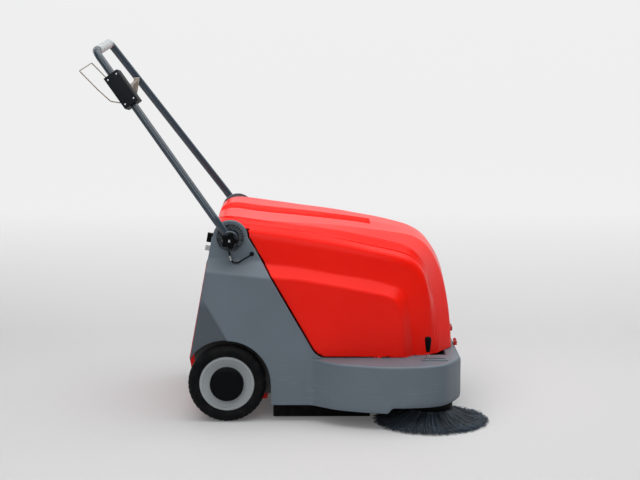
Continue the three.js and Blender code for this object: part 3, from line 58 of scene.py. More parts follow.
# Shader tools: a Wire is one socket's value, and arithmetic on it adds Math nodes
class Wire:
    def __init__(self, graph, socket):
        self.graph, self.socket = graph, socket

    def maths(self, kind, other, reflected=False):
        values = (other, self) if reflected else (self, other)
        node = self.graph.node("ShaderNodeMath", {"operation": kind}, {0: values[0], 1: values[1]})
        return Wire(self.graph, node.outputs[0])

    def __add__(self, other):
        return self.maths("ADD", other)

    def __radd__(self, other):
        return self.maths("ADD", other)

    def __sub__(self, other):
        return self.maths("SUBTRACT", other)

    def __rsub__(self, other):
        return self.maths("SUBTRACT", other, True)

    def __mul__(self, other):
        return self.maths("MULTIPLY", other)

    def __rmul__(self, other):
        return self.maths("MULTIPLY", other)

    def __pow__(self, other):
        return self.maths("POWER", other)

    def clipped(self):
        node = self.graph.node("ShaderNodeClamp", {}, {"Value": self})
        return Wire(self.graph, node.outputs[0])

    # 0 below low, 1 above high, straight between
    def step(self, low, high):
        return ((self - low) * (1 / (high - low))).clipped()


class Finish:
    def __init__(self, name):
        self.material = bpy.data.materials.new(name)
        self.material.use_nodes = True
        self.tree = self.material.node_tree
        self.shader = self.tree.nodes["Principled BSDF"]

    def node(self, kind, settings, inputs):
        made = self.tree.nodes.new(kind)
        stops = settings.pop("stops", None)
        for key, value in settings.items():
            setattr(made, key, value)
        if stops:
            ramp = made.color_ramp.elements
            while len(ramp) < len(stops):
                ramp.new(0.5)
            for element, (place, colour) in zip(ramp, stops):
                element.position, element.color = place, (*colour, 1)
        for key, value in inputs.items():
            self.feed(made.inputs[key], value)
        return made

    def feed(self, socket, value):
        if isinstance(value, Wire):
            self.tree.links.new(value.socket, socket)
        elif socket.type == "RGBA" and len(value) == 3:
            socket.default_value = (*value, 1)
        else:
            socket.default_value = value

    def set(self, **values):
        for key, value in values.items():
            name = "".join(" " + c if c.isupper() else c for c in key).title()
            name = name.replace("Ior", "IOR")
            self.feed(self.shader.inputs[name], value)
        return self

    # Object coordinates, stretched by a factor for each axis
    def place(self, stretch=(1, 1, 1)):
        coords = self.node("ShaderNodeTexCoord", {}, {})
        mapped = self.node("ShaderNodeMapping", {}, {
            "Vector": Wire(self, coords.outputs["Object"]), "Scale": stretch})
        return Wire(self, mapped.outputs[0])

    def along(self, axis):
        split = self.node("ShaderNodeSeparateXYZ", {}, {0: self.place()})
        return Wire(self, split.outputs["XYZ".index(axis)])

    def noise(self, scale, detail=3.0, rough=0.5, stretch=(1, 1, 1), twist=0.0):
        made = self.node("ShaderNodeTexNoise", {}, {
            "Vector": self.place(stretch), "Scale": scale, "Detail": detail, "Roughness": rough,
            "Distortion": twist})
        return Wire(self, made.outputs[0])

    def cells(self, scale):
        made = self.node("ShaderNodeTexVoronoi", {}, {"Vector": self.place(), "Scale": scale})
        return Wire(self, made.outputs[0])

    def attribute(self, name):
        made = self.node("ShaderNodeAttribute", {"attribute_name": name}, {})
        return Wire(self, made.outputs["Fac"])

    def mix(self, share, low, high):
        made = self.node("ShaderNodeMix", {"data_type": "RGBA"}, {0: share, 6: low, 7: high})
        return Wire(self, made.outputs[2])

    def bump(self, height, depth, strength=1.0):
        made = self.node("ShaderNodeBump", {}, {"Height": height, "Distance": depth, "Strength": strength})
        return self.set(normal=Wire(self, made.outputs[0]))


# A colour as it is read off a screen, made linear
def shade(red, green, blue):
    values = np.array([red, green, blue]) / 255
    return tuple(np.where(values <= 0.04045, values / 12.92, ((values + 0.055) / 1.055) ** 2.4))


def between(low, high, share):
    return tuple(np.array(low) * (1 - share) + np.array(high) * share)


# Glossy red moulding: fine orange peel, a slight cloudiness, and a little dust in fine specks
def redMoulding(name, colour, roughness):
    finish = Finish(name)
    cloud = finish.noise(5.0, 2.0)
    specks = finish.noise(420.0, 2.0).step(0.66, 0.74)
    deep, warm = between(colour, (0.35, 0.0, 0.0), 0.10), between(colour, (1.0, 0.12, 0.05), 0.06)
    base = finish.mix(cloud, deep, warm)
    dusty = finish.mix(specks * 0.10, base, shade(235, 200, 190))
    peel = finish.noise(260.0, 2.0) * 0.7 + finish.noise(1400.0, 1.0) * 0.3
    finish.set(baseColor=dusty, roughness=cloud * 0.08 + (roughness - 0.04) + specks * 0.2,
               specularIorLevel=0.14)
    return finish.bump(peel, 0.00012).material


scuffBand = {"from": 0.052, "full": 0.075, "fading": 0.150, "gone": 0.172, "tone": (164, 168, 170)}


# Grained moulding: leather-like grain, cloudy tone, painted shade where an attribute marks the turned-in
# recess behind the side wall's crease, and pale scuffs in a low band
def greyMoulding(name, colour, roughness, scuffs=0.0, shine=0.5):
    finish = Finish(name)
    cloud = finish.noise(7.0, 3.0)
    base = finish.mix(cloud, between(colour, (0, 0, 0), 0.12), between(colour, np.array(colour) * 2, 0.2))
    # painted shade: darker towards a near black where the attribute for the recess behind the crease is set
    base = finish.mix(finish.attribute("paintedShade") * 0.7, base, between(colour, (0.01, 0.012, 0.014), 0.6))
    grain = finish.cells(1700.0) * 0.6 + finish.noise(2600.0, 2.0) * 0.4
    rough = cloud * 0.1 + (roughness - 0.05)
    if scuffs:
        height = finish.along("Z")
        low = (1 - height.step(scuffBand["fading"], scuffBand["gone"])) * height.step(
            scuffBand["from"], scuffBand["full"])
        streaks = finish.noise(30.0, 6.0, 0.7, (0.35, 0.35, 9.0), 0.4).step(0.60, 0.68)
        hair = finish.noise(90.0, 3.0, 0.6, (0.12, 0.12, 14.0)).step(0.66, 0.70)
        worn = (streaks * 0.55 + hair * 0.45) * low * finish.noise(9.0, 2.0).step(0.42, 0.6) * scuffs
        base = finish.mix(worn, base, shade(*scuffBand["tone"]))
        rough = rough + worn * 0.25
    finish.set(baseColor=base, roughness=rough, specularIorLevel=shine)
    return finish.bump(grain, 0.00016, 0.7).material


def rubber(name, colour, roughness, dust):
    finish = Finish(name)
    dirt = finish.noise(38.0, 5.0, 0.65).step(0.45, 0.75)
    base = finish.mix(dirt * dust, colour, shade(96, 94, 90))
    finish.set(baseColor=base, roughness=dirt * 0.15 + (roughness - 0.05), specularIorLevel=0.08)
    return finish.bump(finish.noise(1200.0, 3.0), 0.00015, 0.8).material


# Powder coat: glossy with a soft orange peel, and a few bare chips
def coatedSteel(name, colour, roughness, chips=0.0):
    finish = Finish(name)
    cloud = finish.noise(11.0, 2.0)
    chip = finish.noise(170.0, 4.0, 0.6).step(0.70, 0.72) * chips
    base = finish.mix(chip, finish.mix(cloud, between(colour, (0, 0, 0), 0.15), colour), shade(120, 120, 118))
    finish.set(baseColor=base, roughness=cloud * 0.06 + (roughness - 0.03) + chip * 0.2, coatWeight=0.25,
               coatRoughness=0.15)
    return finish.bump(finish.noise(700.0, 2.0), 0.0001, 0.6).material


# Bright metal: fine scratches, cloudy gloss
def brightMetal(name, colour, roughness):
    finish = Finish(name)
    lines = finish.noise(900.0, 3.0, 0.6)
    cloud = finish.noise(24.0, 3.0)
    base = finish.mix(cloud, between(colour, (0.2, 0.2, 0.2), 0.3), colour)
    finish.set(baseColor=base, metallic=1.0, roughness=lines * 0.1 + cloud * 0.1 + (roughness - 0.08))
    return finish.bump(lines, 0.00005, 0.5).material


# Black moulding with pale painted highlights along its teeth, by an attribute that is 1 on their rims, broken
# up by a noise
def paintedHighlightMoulding(name, colour, worn):
    finish = Finish(name)
    rub = finish.noise(120.0, 3.0, 0.6).step(0.25, 0.6)
    # painted highlight: the teeth go pale where the rim attribute and the noise meet
    base = finish.mix((finish.attribute("rim") * rub).clipped(), colour, worn)
    finish.set(baseColor=base, roughness=rub * 0.1 + 0.42, specularIorLevel=0.10)
    return finish.bump(finish.noise(1500.0, 2.0), 0.0001, 0.5).material


# Foam sleeve: pale closed cells, rubbed smooth in patches
def foamSleeve(name, colour):
    finish = Finish(name)
    pores = finish.cells(650.0)
    rub = finish.noise(26.0, 3.0).step(0.4, 0.7)
    base = finish.mix(rub * 0.5, colour, between(colour, (1, 1, 1), 0.25))
    finish.set(baseColor=base, roughness=0.75 - rub * 0.15)
    return finish.bump(pores, 0.0004, 0.8).material


# Strands: each keeps its own tone from an attribute, and pales towards its tip
def strandFinish(name, dark, light):
    finish = Finish(name)
    tone = finish.attribute("strandTone")
    reach = finish.attribute("strandReach")
    base = finish.mix((tone * 0.75 + (reach ** 3) * 0.25).clipped(), dark, light)
    finish.set(baseColor=base, roughness=0.62 - tone * 0.14)
    return finish.bump(finish.noise(900.0, 2.0), 0.0001, 0.5).material


# Mesh tools: a surface is a grid of points, worked out as whole arrays
def gridFaces(rows, columns, closedRows=False, closedColumns=False):
    i = np.arange(rows if closedRows else rows - 1)[:, None]
    j = np.arange(columns if closedColumns else columns - 1)[None, :]
    below, right = (i + 1) % rows, (j + 1) % columns
    corners = [i * columns + j, i * columns + right, below * columns + right, below * columns + j]
    return np.stack(np.broadcast_arrays(*corners), -1).reshape(-1, 4)


def newPiece(name, body, material, verts, faces, attributes=None, smooth=35, outward=True):
    mesh = bpy.data.meshes.new(name)
    mesh.from_pydata(np.asarray(verts, float).reshape(-1, 3), [], [list(f) for f in faces])
    for key, values in (attributes or {}).items():
        layer = mesh.attributes.new(key, "FLOAT", "POINT")
        layer.data.foreach_set("value", np.asarray(values, np.float32).ravel())
    if outward:
        edit = bmesh.new()
        edit.from_mesh(mesh)
        bmesh.ops.remove_doubles(edit, verts=edit.verts, dist=1e-6)
        bmesh.ops.recalc_face_normals(edit, faces=edit.faces)
        edit.to_mesh(mesh)
        edit.free()
    mesh.shade_smooth()
    if smooth:
        mesh.set_sharp_from_angle(angle=math.radians(smooth))
    piece = bpy.data.objects.new(name, mesh)
    bpy.context.scene.collection.objects.link(piece)
    mesh.materials.append(material)
    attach(piece, body)
    return piece


# A grid of points, closed round, with a face over each of its two ends
def surface(name, body, material, points, **more):
    rows, columns = points.shape[:2]
    faces = gridFaces(rows, columns, False, True).tolist()
    faces.append(list(range(columns))[::-1])
    faces.append([(rows - 1) * columns + k for k in range(columns)])
    return newPiece(name, body, material, points, faces, **more)


# A path whose corners are rounded by arcs of a given radius, or of one radius for each corner
def rounded(points, radius, turns, closed=False):
    points = [np.asarray(p, float) for p in points]
    count = len(points)
    radii = radius if isinstance(radius, list) else [radius] * count
    found = [] if closed else [points[0]]
    for k in range(count) if closed else range(1, count - 1):
        corner, before, after = points[k], points[k - 1], points[(k + 1) % count]
        a, b = before - corner, after - corner
        la, lb = np.linalg.norm(a), np.linalg.norm(b)
        a, b = a / la, b / lb
        half = math.acos(np.clip(a @ b, -1, 1)) / 2
        if radii[k] <= 0 or half > 1.55:
            found.append(corner)
            continue
        back = min(radii[k] / math.tan(half), la * 0.49, lb * 0.49)
        r = back * math.tan(half)
        middle = corner + (a + b) / np.linalg.norm(a + b) * (r / math.sin(half))
        start, end = corner + a * back - middle, corner + b * back - middle
        sweep = math.pi - 2 * half
        t = np.linspace(0, 1, turns + 1)[:, None]
        arc = (np.sin((1 - t) * sweep) * start + np.sin(t * sweep) * end) / math.sin(sweep)
        found.extend(middle + arc)
    if not closed:
        found.append(points[-1])
    return np.array(found)


# A section carried along a path: point = path + u * side + v * up, with the frame square to the path
def swept(path, section, up):
    run = np.gradient(path, axis=0)
    run /= np.linalg.norm(run, axis=1)[:, None]
    side = np.cross(run, up)
    side /= np.linalg.norm(side, axis=1)[:, None]
    over = np.cross(side, run)
    return path[:, None] + section[None, :, :1] * side[:, None] + section[None, :, 1:] * over[:, None]


def circle(radius, sides):
    angle = np.linspace(0, 2 * np.pi, sides, endpoint=False)
    return radius * np.stack([np.cos(angle), np.sin(angle)], 1)


def roundedBar(name, body, material, points, radius, bend, sides, up, turns):
    return surface(name, body, material, swept(rounded(points, bend, turns), circle(radius, sides), up))


# A turned piece: [radius, height] points round an axis; wave adds to the radius, by angle, radius and height
def turned(name, body, material, profile, centre, sides, axis="y", wave=None):
    profile = np.asarray(profile, float)
    angle = np.linspace(0, 2 * np.pi, sides, endpoint=False)[:, None]
    radius = profile[None, :, 0] + (wave(angle, *profile.T[:, None]) if wave else 0 * angle)
    height = np.broadcast_to(profile[None, :, 1], radius.shape)
    flat = np.stack([radius * np.cos(angle), radius * np.sin(angle), height], -1)
    points = flat[..., [0, 2, 1]] if axis == "y" else flat
    return newPiece(name, body, material, points + np.asarray(centre), gridFaces(sides, len(profile), True))


# A turned piece from its corners: radius, height and the bend that rounds each; side -1 mirrors the heights
def turnedCorners(name, body, material, corners, centre, side=1, closed=True, turns=4, **rest):
    corners = np.array(corners, float)
    loop = rounded(corners[:, :2], corners[:, 2].tolist(), turns, closed)
    loop = np.vstack([loop, loop[:1]]) if closed else loop
    return turned(name, body, material, loop * [1, side], centre, **rest)


# A sleeve, or a pin where its inner radius is 0: a rectangle turned round, with its outer edges rounded
def sleeve(name, body, material, radii, heights, bend, centre, innerBend=0, **rest):
    (inner, outer), (low, high) = radii, heights
    corners = [(inner, low, innerBend), (outer, low, bend), (outer, high, bend), (inner, high, innerBend)]
    return turnedCorners(name, body, material, corners, centre, closed=inner > 0, **rest)


# A flat outline carried through a depth: both of its rims are rounded by quarter arcs of the edge radius
def slab(name, body, material, outline, low, high, edge, place, turns):
    run = np.roll(outline, -1, 0) - np.roll(outline, 1, 0)
    run /= np.linalg.norm(run, axis=1)[:, None] + 1e-12
    turn = np.linspace(0, np.pi / 2, turns + 1)
    inward = np.concatenate([edge * (1 - np.sin(turn)), edge * (1 - np.cos(turn))])
    rise = np.concatenate([low + edge * (1 - np.cos(turn)), high - edge * (1 - np.sin(turn))])
    area = np.sum(outline[:, 0] * np.roll(outline[:, 1], -1) - outline[:, 1] * np.roll(outline[:, 0], -1))
    normal = np.stack([-run[:, 1], run[:, 0]], 1) * (1 if area > 0 else -1)
    flat = outline[None] + inward[:, None, None] * normal[None]
    points = place(flat[..., 0], flat[..., 1], np.broadcast_to(rise[:, None], flat.shape[:2]))
    return surface(name, body, material, points)


# 0 to 1 with a level start and end: t^2 (3 - 2 t), t kept between 0 and 1
def eased(t):
    t = np.clip(t, 0, 1)
    return t * t * (3 - 2 * t)


# An open skin: doubles and slivers go, its faces look away from a middle, and it gets a wall behind them
def cleaned(piece, middle, wall):
    edit = bmesh.new()
    edit.from_mesh(piece.data)
    bmesh.ops.remove_doubles(edit, verts=edit.verts, dist=3e-5)
    bmesh.ops.dissolve_degenerate(edit, edges=edit.edges, dist=3e-5)
    bmesh.ops.delete(edit, geom=[v for v in edit.verts if not v.link_faces], context="VERTS")
    bmesh.ops.recalc_face_normals(edit, faces=edit.faces)
    facing = sum(np.array(face.normal) @ (np.array(face.calc_center_median()) - middle) * face.calc_area()
                 for face in edit.faces)
    if facing < 0:
        bmesh.ops.reverse_faces(edit, faces=edit.faces)
    edit.to_mesh(piece.data)
    edit.free()
    skin = piece.modifiers.new("wall", "SOLIDIFY")
    skin.thickness, skin.offset = wall, -1


# A CAD node's own shape with its edges rounded, for a piece whose form is right but too sharp
def softened(node, body, material, width, segments, flat=1.0, angle=28):
    mesh = bpy.data.meshes.new(f"{node}_piece")
    edit = bmesh.new()
    edit.from_mesh(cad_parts[node].data)
    bmesh.ops.remove_doubles(edit, verts=edit.verts, dist=2e-6)
    bmesh.ops.dissolve_limit(edit, angle_limit=math.radians(flat), verts=edit.verts, edges=edit.edges)
    edges = [e for e in edit.edges if len(e.link_faces) == 2 and e.calc_face_angle(0) > math.radians(angle)]
    bmesh.ops.bevel(edit, geom=edges, offset=width, offset_type="OFFSET", segments=segments, profile=0.5,
                    affect="EDGES", clamp_overlap=True, miter_outer="ARC")
    edit.to_mesh(mesh)
    edit.free()
    mesh.materials.clear()
    mesh.materials.append(material)
    mesh.shade_smooth()
    mesh.set_sharp_from_angle(angle=math.radians(angle))
    piece = bpy.data.objects.new(mesh.name, mesh)
    bpy.context.scene.collection.objects.link(piece)
    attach(piece, body)
    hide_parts(node)


print("sweeper: finishes")
redHood = redMoulding("redHood", shade(244, 20, 6), 0.30)
redBin = redMoulding("redBin", shade(200, 14, 8), 0.42)
greyBody = greyMoulding("greyBody", shade(97, 108, 117), 0.46, 1.0, 0.35)
greyPanel = greyMoulding("greyPanel", shade(80, 88, 95), 0.5)
blackMould = greyMoulding("blackMould", shade(8, 9, 11), 0.45, shine=0.06)
coverMould = greyMoulding("coverMould", shade(15, 19, 25), 0.42, shine=0.12)
# pale painted highlights on the toothed rings' teeth
paintedHighlightTeeth = paintedHighlightMoulding("paintedHighlightTeeth", shade(14, 15, 17), shade(120, 128, 134))
rimMould = greyMoulding("rimMould", shade(150, 156, 158), 0.5)
tyreRubber = rubber("tyreRubber", shade(11, 12, 14), 0.62, 0.08)
flapRubber = rubber("flapRubber", shade(13, 13, 14), 0.75, 0.10)
cableRubber = rubber("cableRubber", shade(16, 16, 18), 0.5, 0.05)
slateTube = coatedSteel("slateTube", shade(48, 61, 73), 0.22)
redSteel = coatedSteel("redSteel", shade(190, 16, 8), 0.4)
blackSteel = coatedSteel("blackSteel", shade(18, 19, 21), 0.5, 0.3)
zincSteel = brightMetal("zincSteel", shade(205, 207, 208), 0.30)
chromeSteel = brightMetal("chromeSteel", shade(225, 226, 228), 0.16)
wireSteel = brightMetal("wireSteel", shade(150, 138, 126), 0.32)
paleFoam = foamSleeve("paleFoam", shade(170, 174, 176))
filterPaper = foamSleeve("filterPaper", shade(214, 208, 190))
brushStrands = strandFinish("brushStrands", shade(6, 9, 13), shade(84, 98, 112))

# Nodes that keep their model shape and only get a finish
plainNodes = [
    (zincSteel, ["key_switch", "axle_right", "axle_left", "caster_plate", "brush_bearing_right",
                 "brush_bearing_left", "motor_pulley"]),
    (redSteel, ["hood_hinge_right", "hood_hinge_left"]),
    (blackSteel, ["brush_motor", "brush_pulley", "battery_tray", "brush_arm", "side_brush_motor"]),
    (blackMould, ["fan_housing", "battery"]),
    (flapRubber, ["drive_belt", "skirt_left", "rear_flap"]),
    (filterPaper, ["filter_panel"]),
]
for material, nodes in plainNodes:
    for node in nodes:
        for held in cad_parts[node].material_slots:
            held.material = material

# Hood: the same lines as the model's, from its rear to its front lip, as shares of its sizes
hood = {
    "rear": -0.034, "length": 0.700, "halfWidth": 0.285, "bottom": 0.190, "height": 0.402, "wall": 0.0035,
    "gap": 0.004, "cutHeight": 0.560, "stations": 230, "middle": (0.25, 0, 0.3),
    "seamTop": (0.057, 0.547), "seamLow": (0.247, 0.214), "seamUpright": 0.009, "deck": 0.187,
    "footRound": 0.027,
    "pocketFront": 0.416, "pocketHalf": 0.040, "pocketDepth": 0.0175, "pocketWall": 0.0022,
    "pocketRearZ": 0.590, "pocketFrontZ": 0.543,
    # each line with its fillet, the depth of its crease, and the spans up to the next line
    "lines": ["foot", "ledgeLow", "ledgeTop", "shoulder", "groove", "step", "plateau", "pocketEdge"],
    "fillet": [0, 0.0055, 0.0045, 0.026, 0.005, 0.004, 0.006, 0.0],
    "crease": [0, 0, 0, 0, 0.0022, 0.0014, 0.0012, 0.0],
    "spans": [26, 8, 12, 6, 5, 6, 10, 10],
    "filletPoints": 11, "filletMost": 0.45, "creaseWidth": 0.2,
}
# each point: share of the length from the rear, of the half width, and of the height
hoodShares = {
    "crest": [[0, 0, 0.896], [0.007, 0, 0.96], [0.056, 0, 1], [0.176, 0, 0.973], [0.349, 0, 0.943],
              [0.52, 0, 0.91], [0.649, 0, 0.878], [0.779, 0, 0.831], [0.851, 0, 0.784], [0.906, 0, 0.704],
              [0.946, 0, 0.572], [0.973, 0, 0.386], [0.991, 0, 0.192], [1, 0, -0.01]],
    "plateau": [[0, 0.421, 0.896], [0.009, 0.526, 0.955], [0.056, 0.674, 0.99], [0.226, 0.712, 0.958],
                [0.349, 0.632, 0.935], [0.52, 0.526, 0.903], [0.641, 0.495, 0.871], [0.726, 0.439, 0.846],
                [0.829, 0.351, 0.801], [0.88, 0.344, 0.741], [0.917, 0.365, 0.652], [0.949, 0.404, 0.522],
                [0.97, 0.449, 0.361], [0.983, 0.491, 0.179], [0.989, 0.526, -0.01]],
    "step": [[0.004, 0.723, 0.896], [0.017, 0.73, 0.955], [0.066, 0.733, 0.973], [0.227, 0.726, 0.948],
             [0.351, 0.723, 0.925], [0.517, 0.719, 0.886], [0.641, 0.719, 0.841], [0.724, 0.716, 0.808],
             [0.787, 0.705, 0.774], [0.823, 0.698, 0.736], [0.851, 0.688, 0.682], [0.874, 0.681, 0.612],
             [0.894, 0.677, 0.5], [0.911, 0.674, 0.373], [0.924, 0.688, 0.226], [0.934, 0.723, -0.01]],
    "groove": [[0.009, 0.786, 0.896], [0.023, 0.793, 0.93], [0.069, 0.8, 0.945], [0.227, 0.796, 0.92],
               [0.351, 0.793, 0.891], [0.517, 0.789, 0.841], [0.641, 0.786, 0.791], [0.724, 0.779, 0.759],
               [0.791, 0.765, 0.724], [0.827, 0.747, 0.689], [0.854, 0.733, 0.642], [0.873, 0.726, 0.582],
               [0.89, 0.723, 0.473], [0.906, 0.723, 0.361], [0.919, 0.733, 0.224], [0.929, 0.765, -0.01]],
    "shoulder": [[0.014, 0.877, 0.871], [0.077, 0.877, 0.9], [0.229, 0.877, 0.876], [0.351, 0.877, 0.841],
                 [0.516, 0.877, 0.794], [0.64, 0.877, 0.751], [0.723, 0.874, 0.721], [0.791, 0.863, 0.682],
                 [0.831, 0.849, 0.637], [0.857, 0.839, 0.582], [0.877, 0.835, 0.498], [0.889, 0.835, 0.373],
                 [0.891, 0.842, 0.224], [0.891, 0.853, -0.01]],
    "ledgeTop": [[0.02, 0.895, 0.697], [0.22, 0.895, 0.662], [0.351, 0.895, 0.637], [0.516, 0.895, 0.585],
                 [0.64, 0.895, 0.55], [0.723, 0.895, 0.512], [0.763, 0.895, 0.483], [0.79, 0.895, 0.428],
                 [0.803, 0.895, 0.336], [0.811, 0.895, 0.219], [0.821, 0.891, -0.01]],
    "ledgeLow": [[0.026, 1, 0.622], [0.257, 1, 0.575], [0.351, 1, 0.56], [0.496, 1, 0.517],
                 [0.619, 1, 0.475], [0.713, 1, 0.438], [0.744, 1, 0.408], [0.763, 1, 0.348],
                 [0.773, 1, 0.249], [0.783, 1, -0.01]],
    "foot": [[0.026, 1, -0.01], [0.406, 1, -0.01], [0.763, 1, -0.01]],
}


# Where the hood meets the side walls: a straight slant down to footRound over the deck, and from there
# x runs out forwards by r - sqrt(r^2 - (r - h)^2), with h the height over the deck
def seamX(z, clear=0.0):
    (topX, topZ), (lowX, lowZ) = hood["seamTop"], hood["seamLow"]
    slant = topX + (topZ - np.minimum(z, topZ - hood["seamUpright"])) * (lowX - topX) / (topZ - lowZ)
    r = hood["footRound"] - clear
    sunk = np.clip(r - (z - hood["deck"] - clear), 0, r)
    return slant + clear + r - np.sqrt(np.maximum(r * r - sunk * sunk, 0))


# A smooth line through points, knots spaced by the root of each chord, read at even lengths
def smoothLine(points, count, samples=1600):
    points = np.asarray(points, float)
    full = np.vstack([2 * points[0] - points[1], points, 2 * points[-1] - points[-2]])
    gaps = np.sqrt(np.linalg.norm(np.diff(full, axis=0), axis=1))
    knots = np.concatenate([[0], np.cumsum(gaps)])
    t = np.linspace(knots[1], knots[-2], samples)
    k = np.clip(np.searchsorted(knots, t, side="right") - 1, 1, len(full) - 3)
    t0, t1, t2, t3 = (knots[k + d][:, None] for d in (-1, 0, 1, 2))
    p0, p1, p2, p3 = (full[k + d] for d in (-1, 0, 1, 2))
    t = t[:, None]
    a1 = (t1 - t) / (t1 - t0) * p0 + (t - t0) / (t1 - t0) * p1
    a2 = (t2 - t) / (t2 - t1) * p1 + (t - t1) / (t2 - t1) * p2
    a3 = (t3 - t) / (t3 - t2) * p2 + (t - t2) / (t3 - t2) * p3
    b1 = (t2 - t) / (t2 - t0) * a1 + (t - t0) / (t2 - t0) * a2
    b2 = (t3 - t) / (t3 - t1) * a2 + (t - t1) / (t3 - t1) * a3
    curve = (t2 - t) / (t2 - t1) * b1 + (t - t1) / (t2 - t1) * b2
    length = np.concatenate([[0], np.cumsum(np.linalg.norm(np.diff(curve, axis=0), axis=1))])
    at = np.linspace(0, length[-1], count)
    return np.stack([np.interp(at, length, curve[:, axis]) for axis in range(3)], 1)


def hoodLine(name, side):
    shares = np.array(hoodShares[name], float)
    return smoothLine(np.stack([
        hood["rear"] + shares[:, 0] * hood["length"], side * shares[:, 1] * hood["halfWidth"],
        hood["bottom"] + shares[:, 2] * hood["height"]], 1), hood["stations"])


# Half the hood: at each station the lines are joined by straight runs, each corner is a parabola over its
# fillet, and a crease sinks the corner's middle by depth * exp(-((t - 0.5) / creaseWidth)^2)
def hoodHalf(side):
    lines = [hoodLine(name, side) for name in hood["lines"][:-1]]
    crest = hoodLine("crest", side)
    share = (hood["pocketHalf"] / np.abs(lines[-1][:, 1]))[:, None]
    lines.append(crest + (lines[-1] - crest) * share)
    lines.append(crest)
    rows, most = [], hood["filletMost"]
    for k in range(len(lines) - 1):
        here, following = lines[k], lines[k + 1]
        gap = np.linalg.norm(following - here, axis=1)[:, None] + 1e-9
        toNext = (following - here) / gap
        fillet = hood["fillet"][k]
        start = np.minimum(fillet, gap * most)
        if fillet:
            back = lines[k - 1] - here
            size = np.linalg.norm(back, axis=1)[:, None] + 1e-9
            before = here + back / size * np.minimum(fillet, size * most)
            after = here + toNext * start
            outward = here * 2 - before - after
            outward /= np.linalg.norm(outward, axis=1)[:, None] + 1e-9
            for t in np.linspace(0, 1, hood["filletPoints"]):
                depth = hood["crease"][k] * math.exp(-((t - 0.5) / hood["creaseWidth"]) ** 2)
                rows.append((1 - t) ** 2 * before + 2 * t * (1 - t) * here + t * t * after - outward * depth)
        nextFillet = hood["fillet"][k + 1] if k + 1 < len(hood["fillet"]) else 0
        low = here + toNext * start
        high = following - toNext * np.minimum(nextFillet, gap * most)
        inner = np.linspace(0, 1, hood["spans"][k] + 1)[1 if fillet else 0:-1]
        rows.extend(low + (high - low) * t for t in inner)
    rows.append(lines[-1])
    return np.array(rows)


def buildHood():
    points = np.concatenate([hoodHalf(-1), hoodHalf(1)[::-1][1:]])
    x, y, z = points[..., 0], points[..., 1], points[..., 2]
    # the pocket: a smooth step down inside its outline
    soft = hood["pocketWall"]
    inside = (eased((hood["pocketHalf"] - np.abs(y)) / soft + 0.5)
              * eased((hood["pocketFront"] - x) / soft + 0.5))
    fall = (hood["pocketFrontZ"] - hood["pocketRearZ"]) / hood["pocketFront"]
    floorZ = hood["pocketRearZ"] + fall * np.maximum(x, 0.0) - hood["pocketDepth"]
    z = z + inside * np.minimum(floorZ - z, 0)
    z = np.maximum(z, hood["bottom"])
    # behind the seam the skin ends: points there move to the seam or to the cut's height
    seam = seamX(z, hood["gap"])
    over, under = seam - x, hood["cutHeight"] - z
    behind = (over > 0) & (under > 0)
    x = np.where(behind & (over <= under), seam, x)
    z = np.where(behind & (over > under), hood["cutHeight"], z)
    faces = gridFaces(*x.shape)
    faces = faces[~behind.ravel()[faces].all(1)]
    verts = np.stack([x, y, z], -1) + origin
    piece = newPiece("hood_skin", "hood", redHood, verts, faces[:, ::-1].tolist(), smooth=40, outward=False)
    cleaned(piece, origin + hood["middle"], hood["wall"])
    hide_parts("hood")


print("sweeper: hood")
buildHood()

# Lower body: two side walls with ears, and the base with the pod over the side brush. Lengths are metres.
print("sweeper: lower body")
shell = {
    "half": 0.300, "earHalf": 0.268, "wall": 0.0048, "bottom": 0.050, "deck": 0.187, "archRadius": 0.1272,
    "archZ": 0.1125, "legX": 0.1278, "archFoot": 0.03, "podStart": 0.247, "front": 0.678, "podReach": 0.402,
    "corner": 0.080, "pivot": (0.012, 0.538), "earRadius": 0.050, "rearTop": (-0.038, 0.556),
    "rearLow": (-0.106, 0.190), "middle": (0.25, 0, 0.15),
    # the side wall's levels over the deck, its columns, and the share at each edge where these are fine
    "levels": [(0.188, 0.222, 33), (0.224, 0.415, 60), (0.417, 0.481, 46)], "lastLevel": 0.483,
    "wallRows": 60, "columns": 90, "fineShare": 0.035,
    # the ledge's heights at its rear and front edge, how softly its slant starts, and the crease
    "ledgeTop": (0.477, 0.469), "ledgeLow": (0.443, 0.422), "slantSoft": 0.09,
    "creaseTop": 0.370, "creaseLowX": 0.033, "creaseInset": 0.003, "turnIn": 0.030, "creaseStep": 0.006,
    "creaseRun": 0.007, "roll": 0.005, "rollShare": 0.85, "edge": 0.007, "edgeGrowth": 0.05,
    "edgeStartRight": 0.252, "edgeStartLeft": 0.290, "foot": 0.003, "stepX": 0.465, "stepUp": 0.016,
    "stepLead": 0.004, "stepRun": 0.018, "holeHalf": 0.2445, "holeFront": 0.636, "baseStart": 0.223,
    "straightFrom": 0.57, "sweepBack": 0.018, "sweepFrom": 0.25, "sweepPace": 1.6, "sweepPower": 1.5,
    "podShares": [[0, 0], [0.065, 0.25], [0.153, 0.55], [0.251, 0.73], [0.383, 0.9], [0.513, 1], [0.645, 1],
                  [0.777, 0.9], [0.88, 0.67], [0.953, 0.18], [1, -0.31]],
    "podLead": [(0, 0), (0.012, 0), (0.024, 0.003)], "podPoints": 170,
}


def rearX(z):
    (topX, topZ), (lowX, lowZ) = shell["rearTop"], shell["rearLow"]
    return topX + (topZ - z) * (lowX - topX) / (topZ - lowZ)


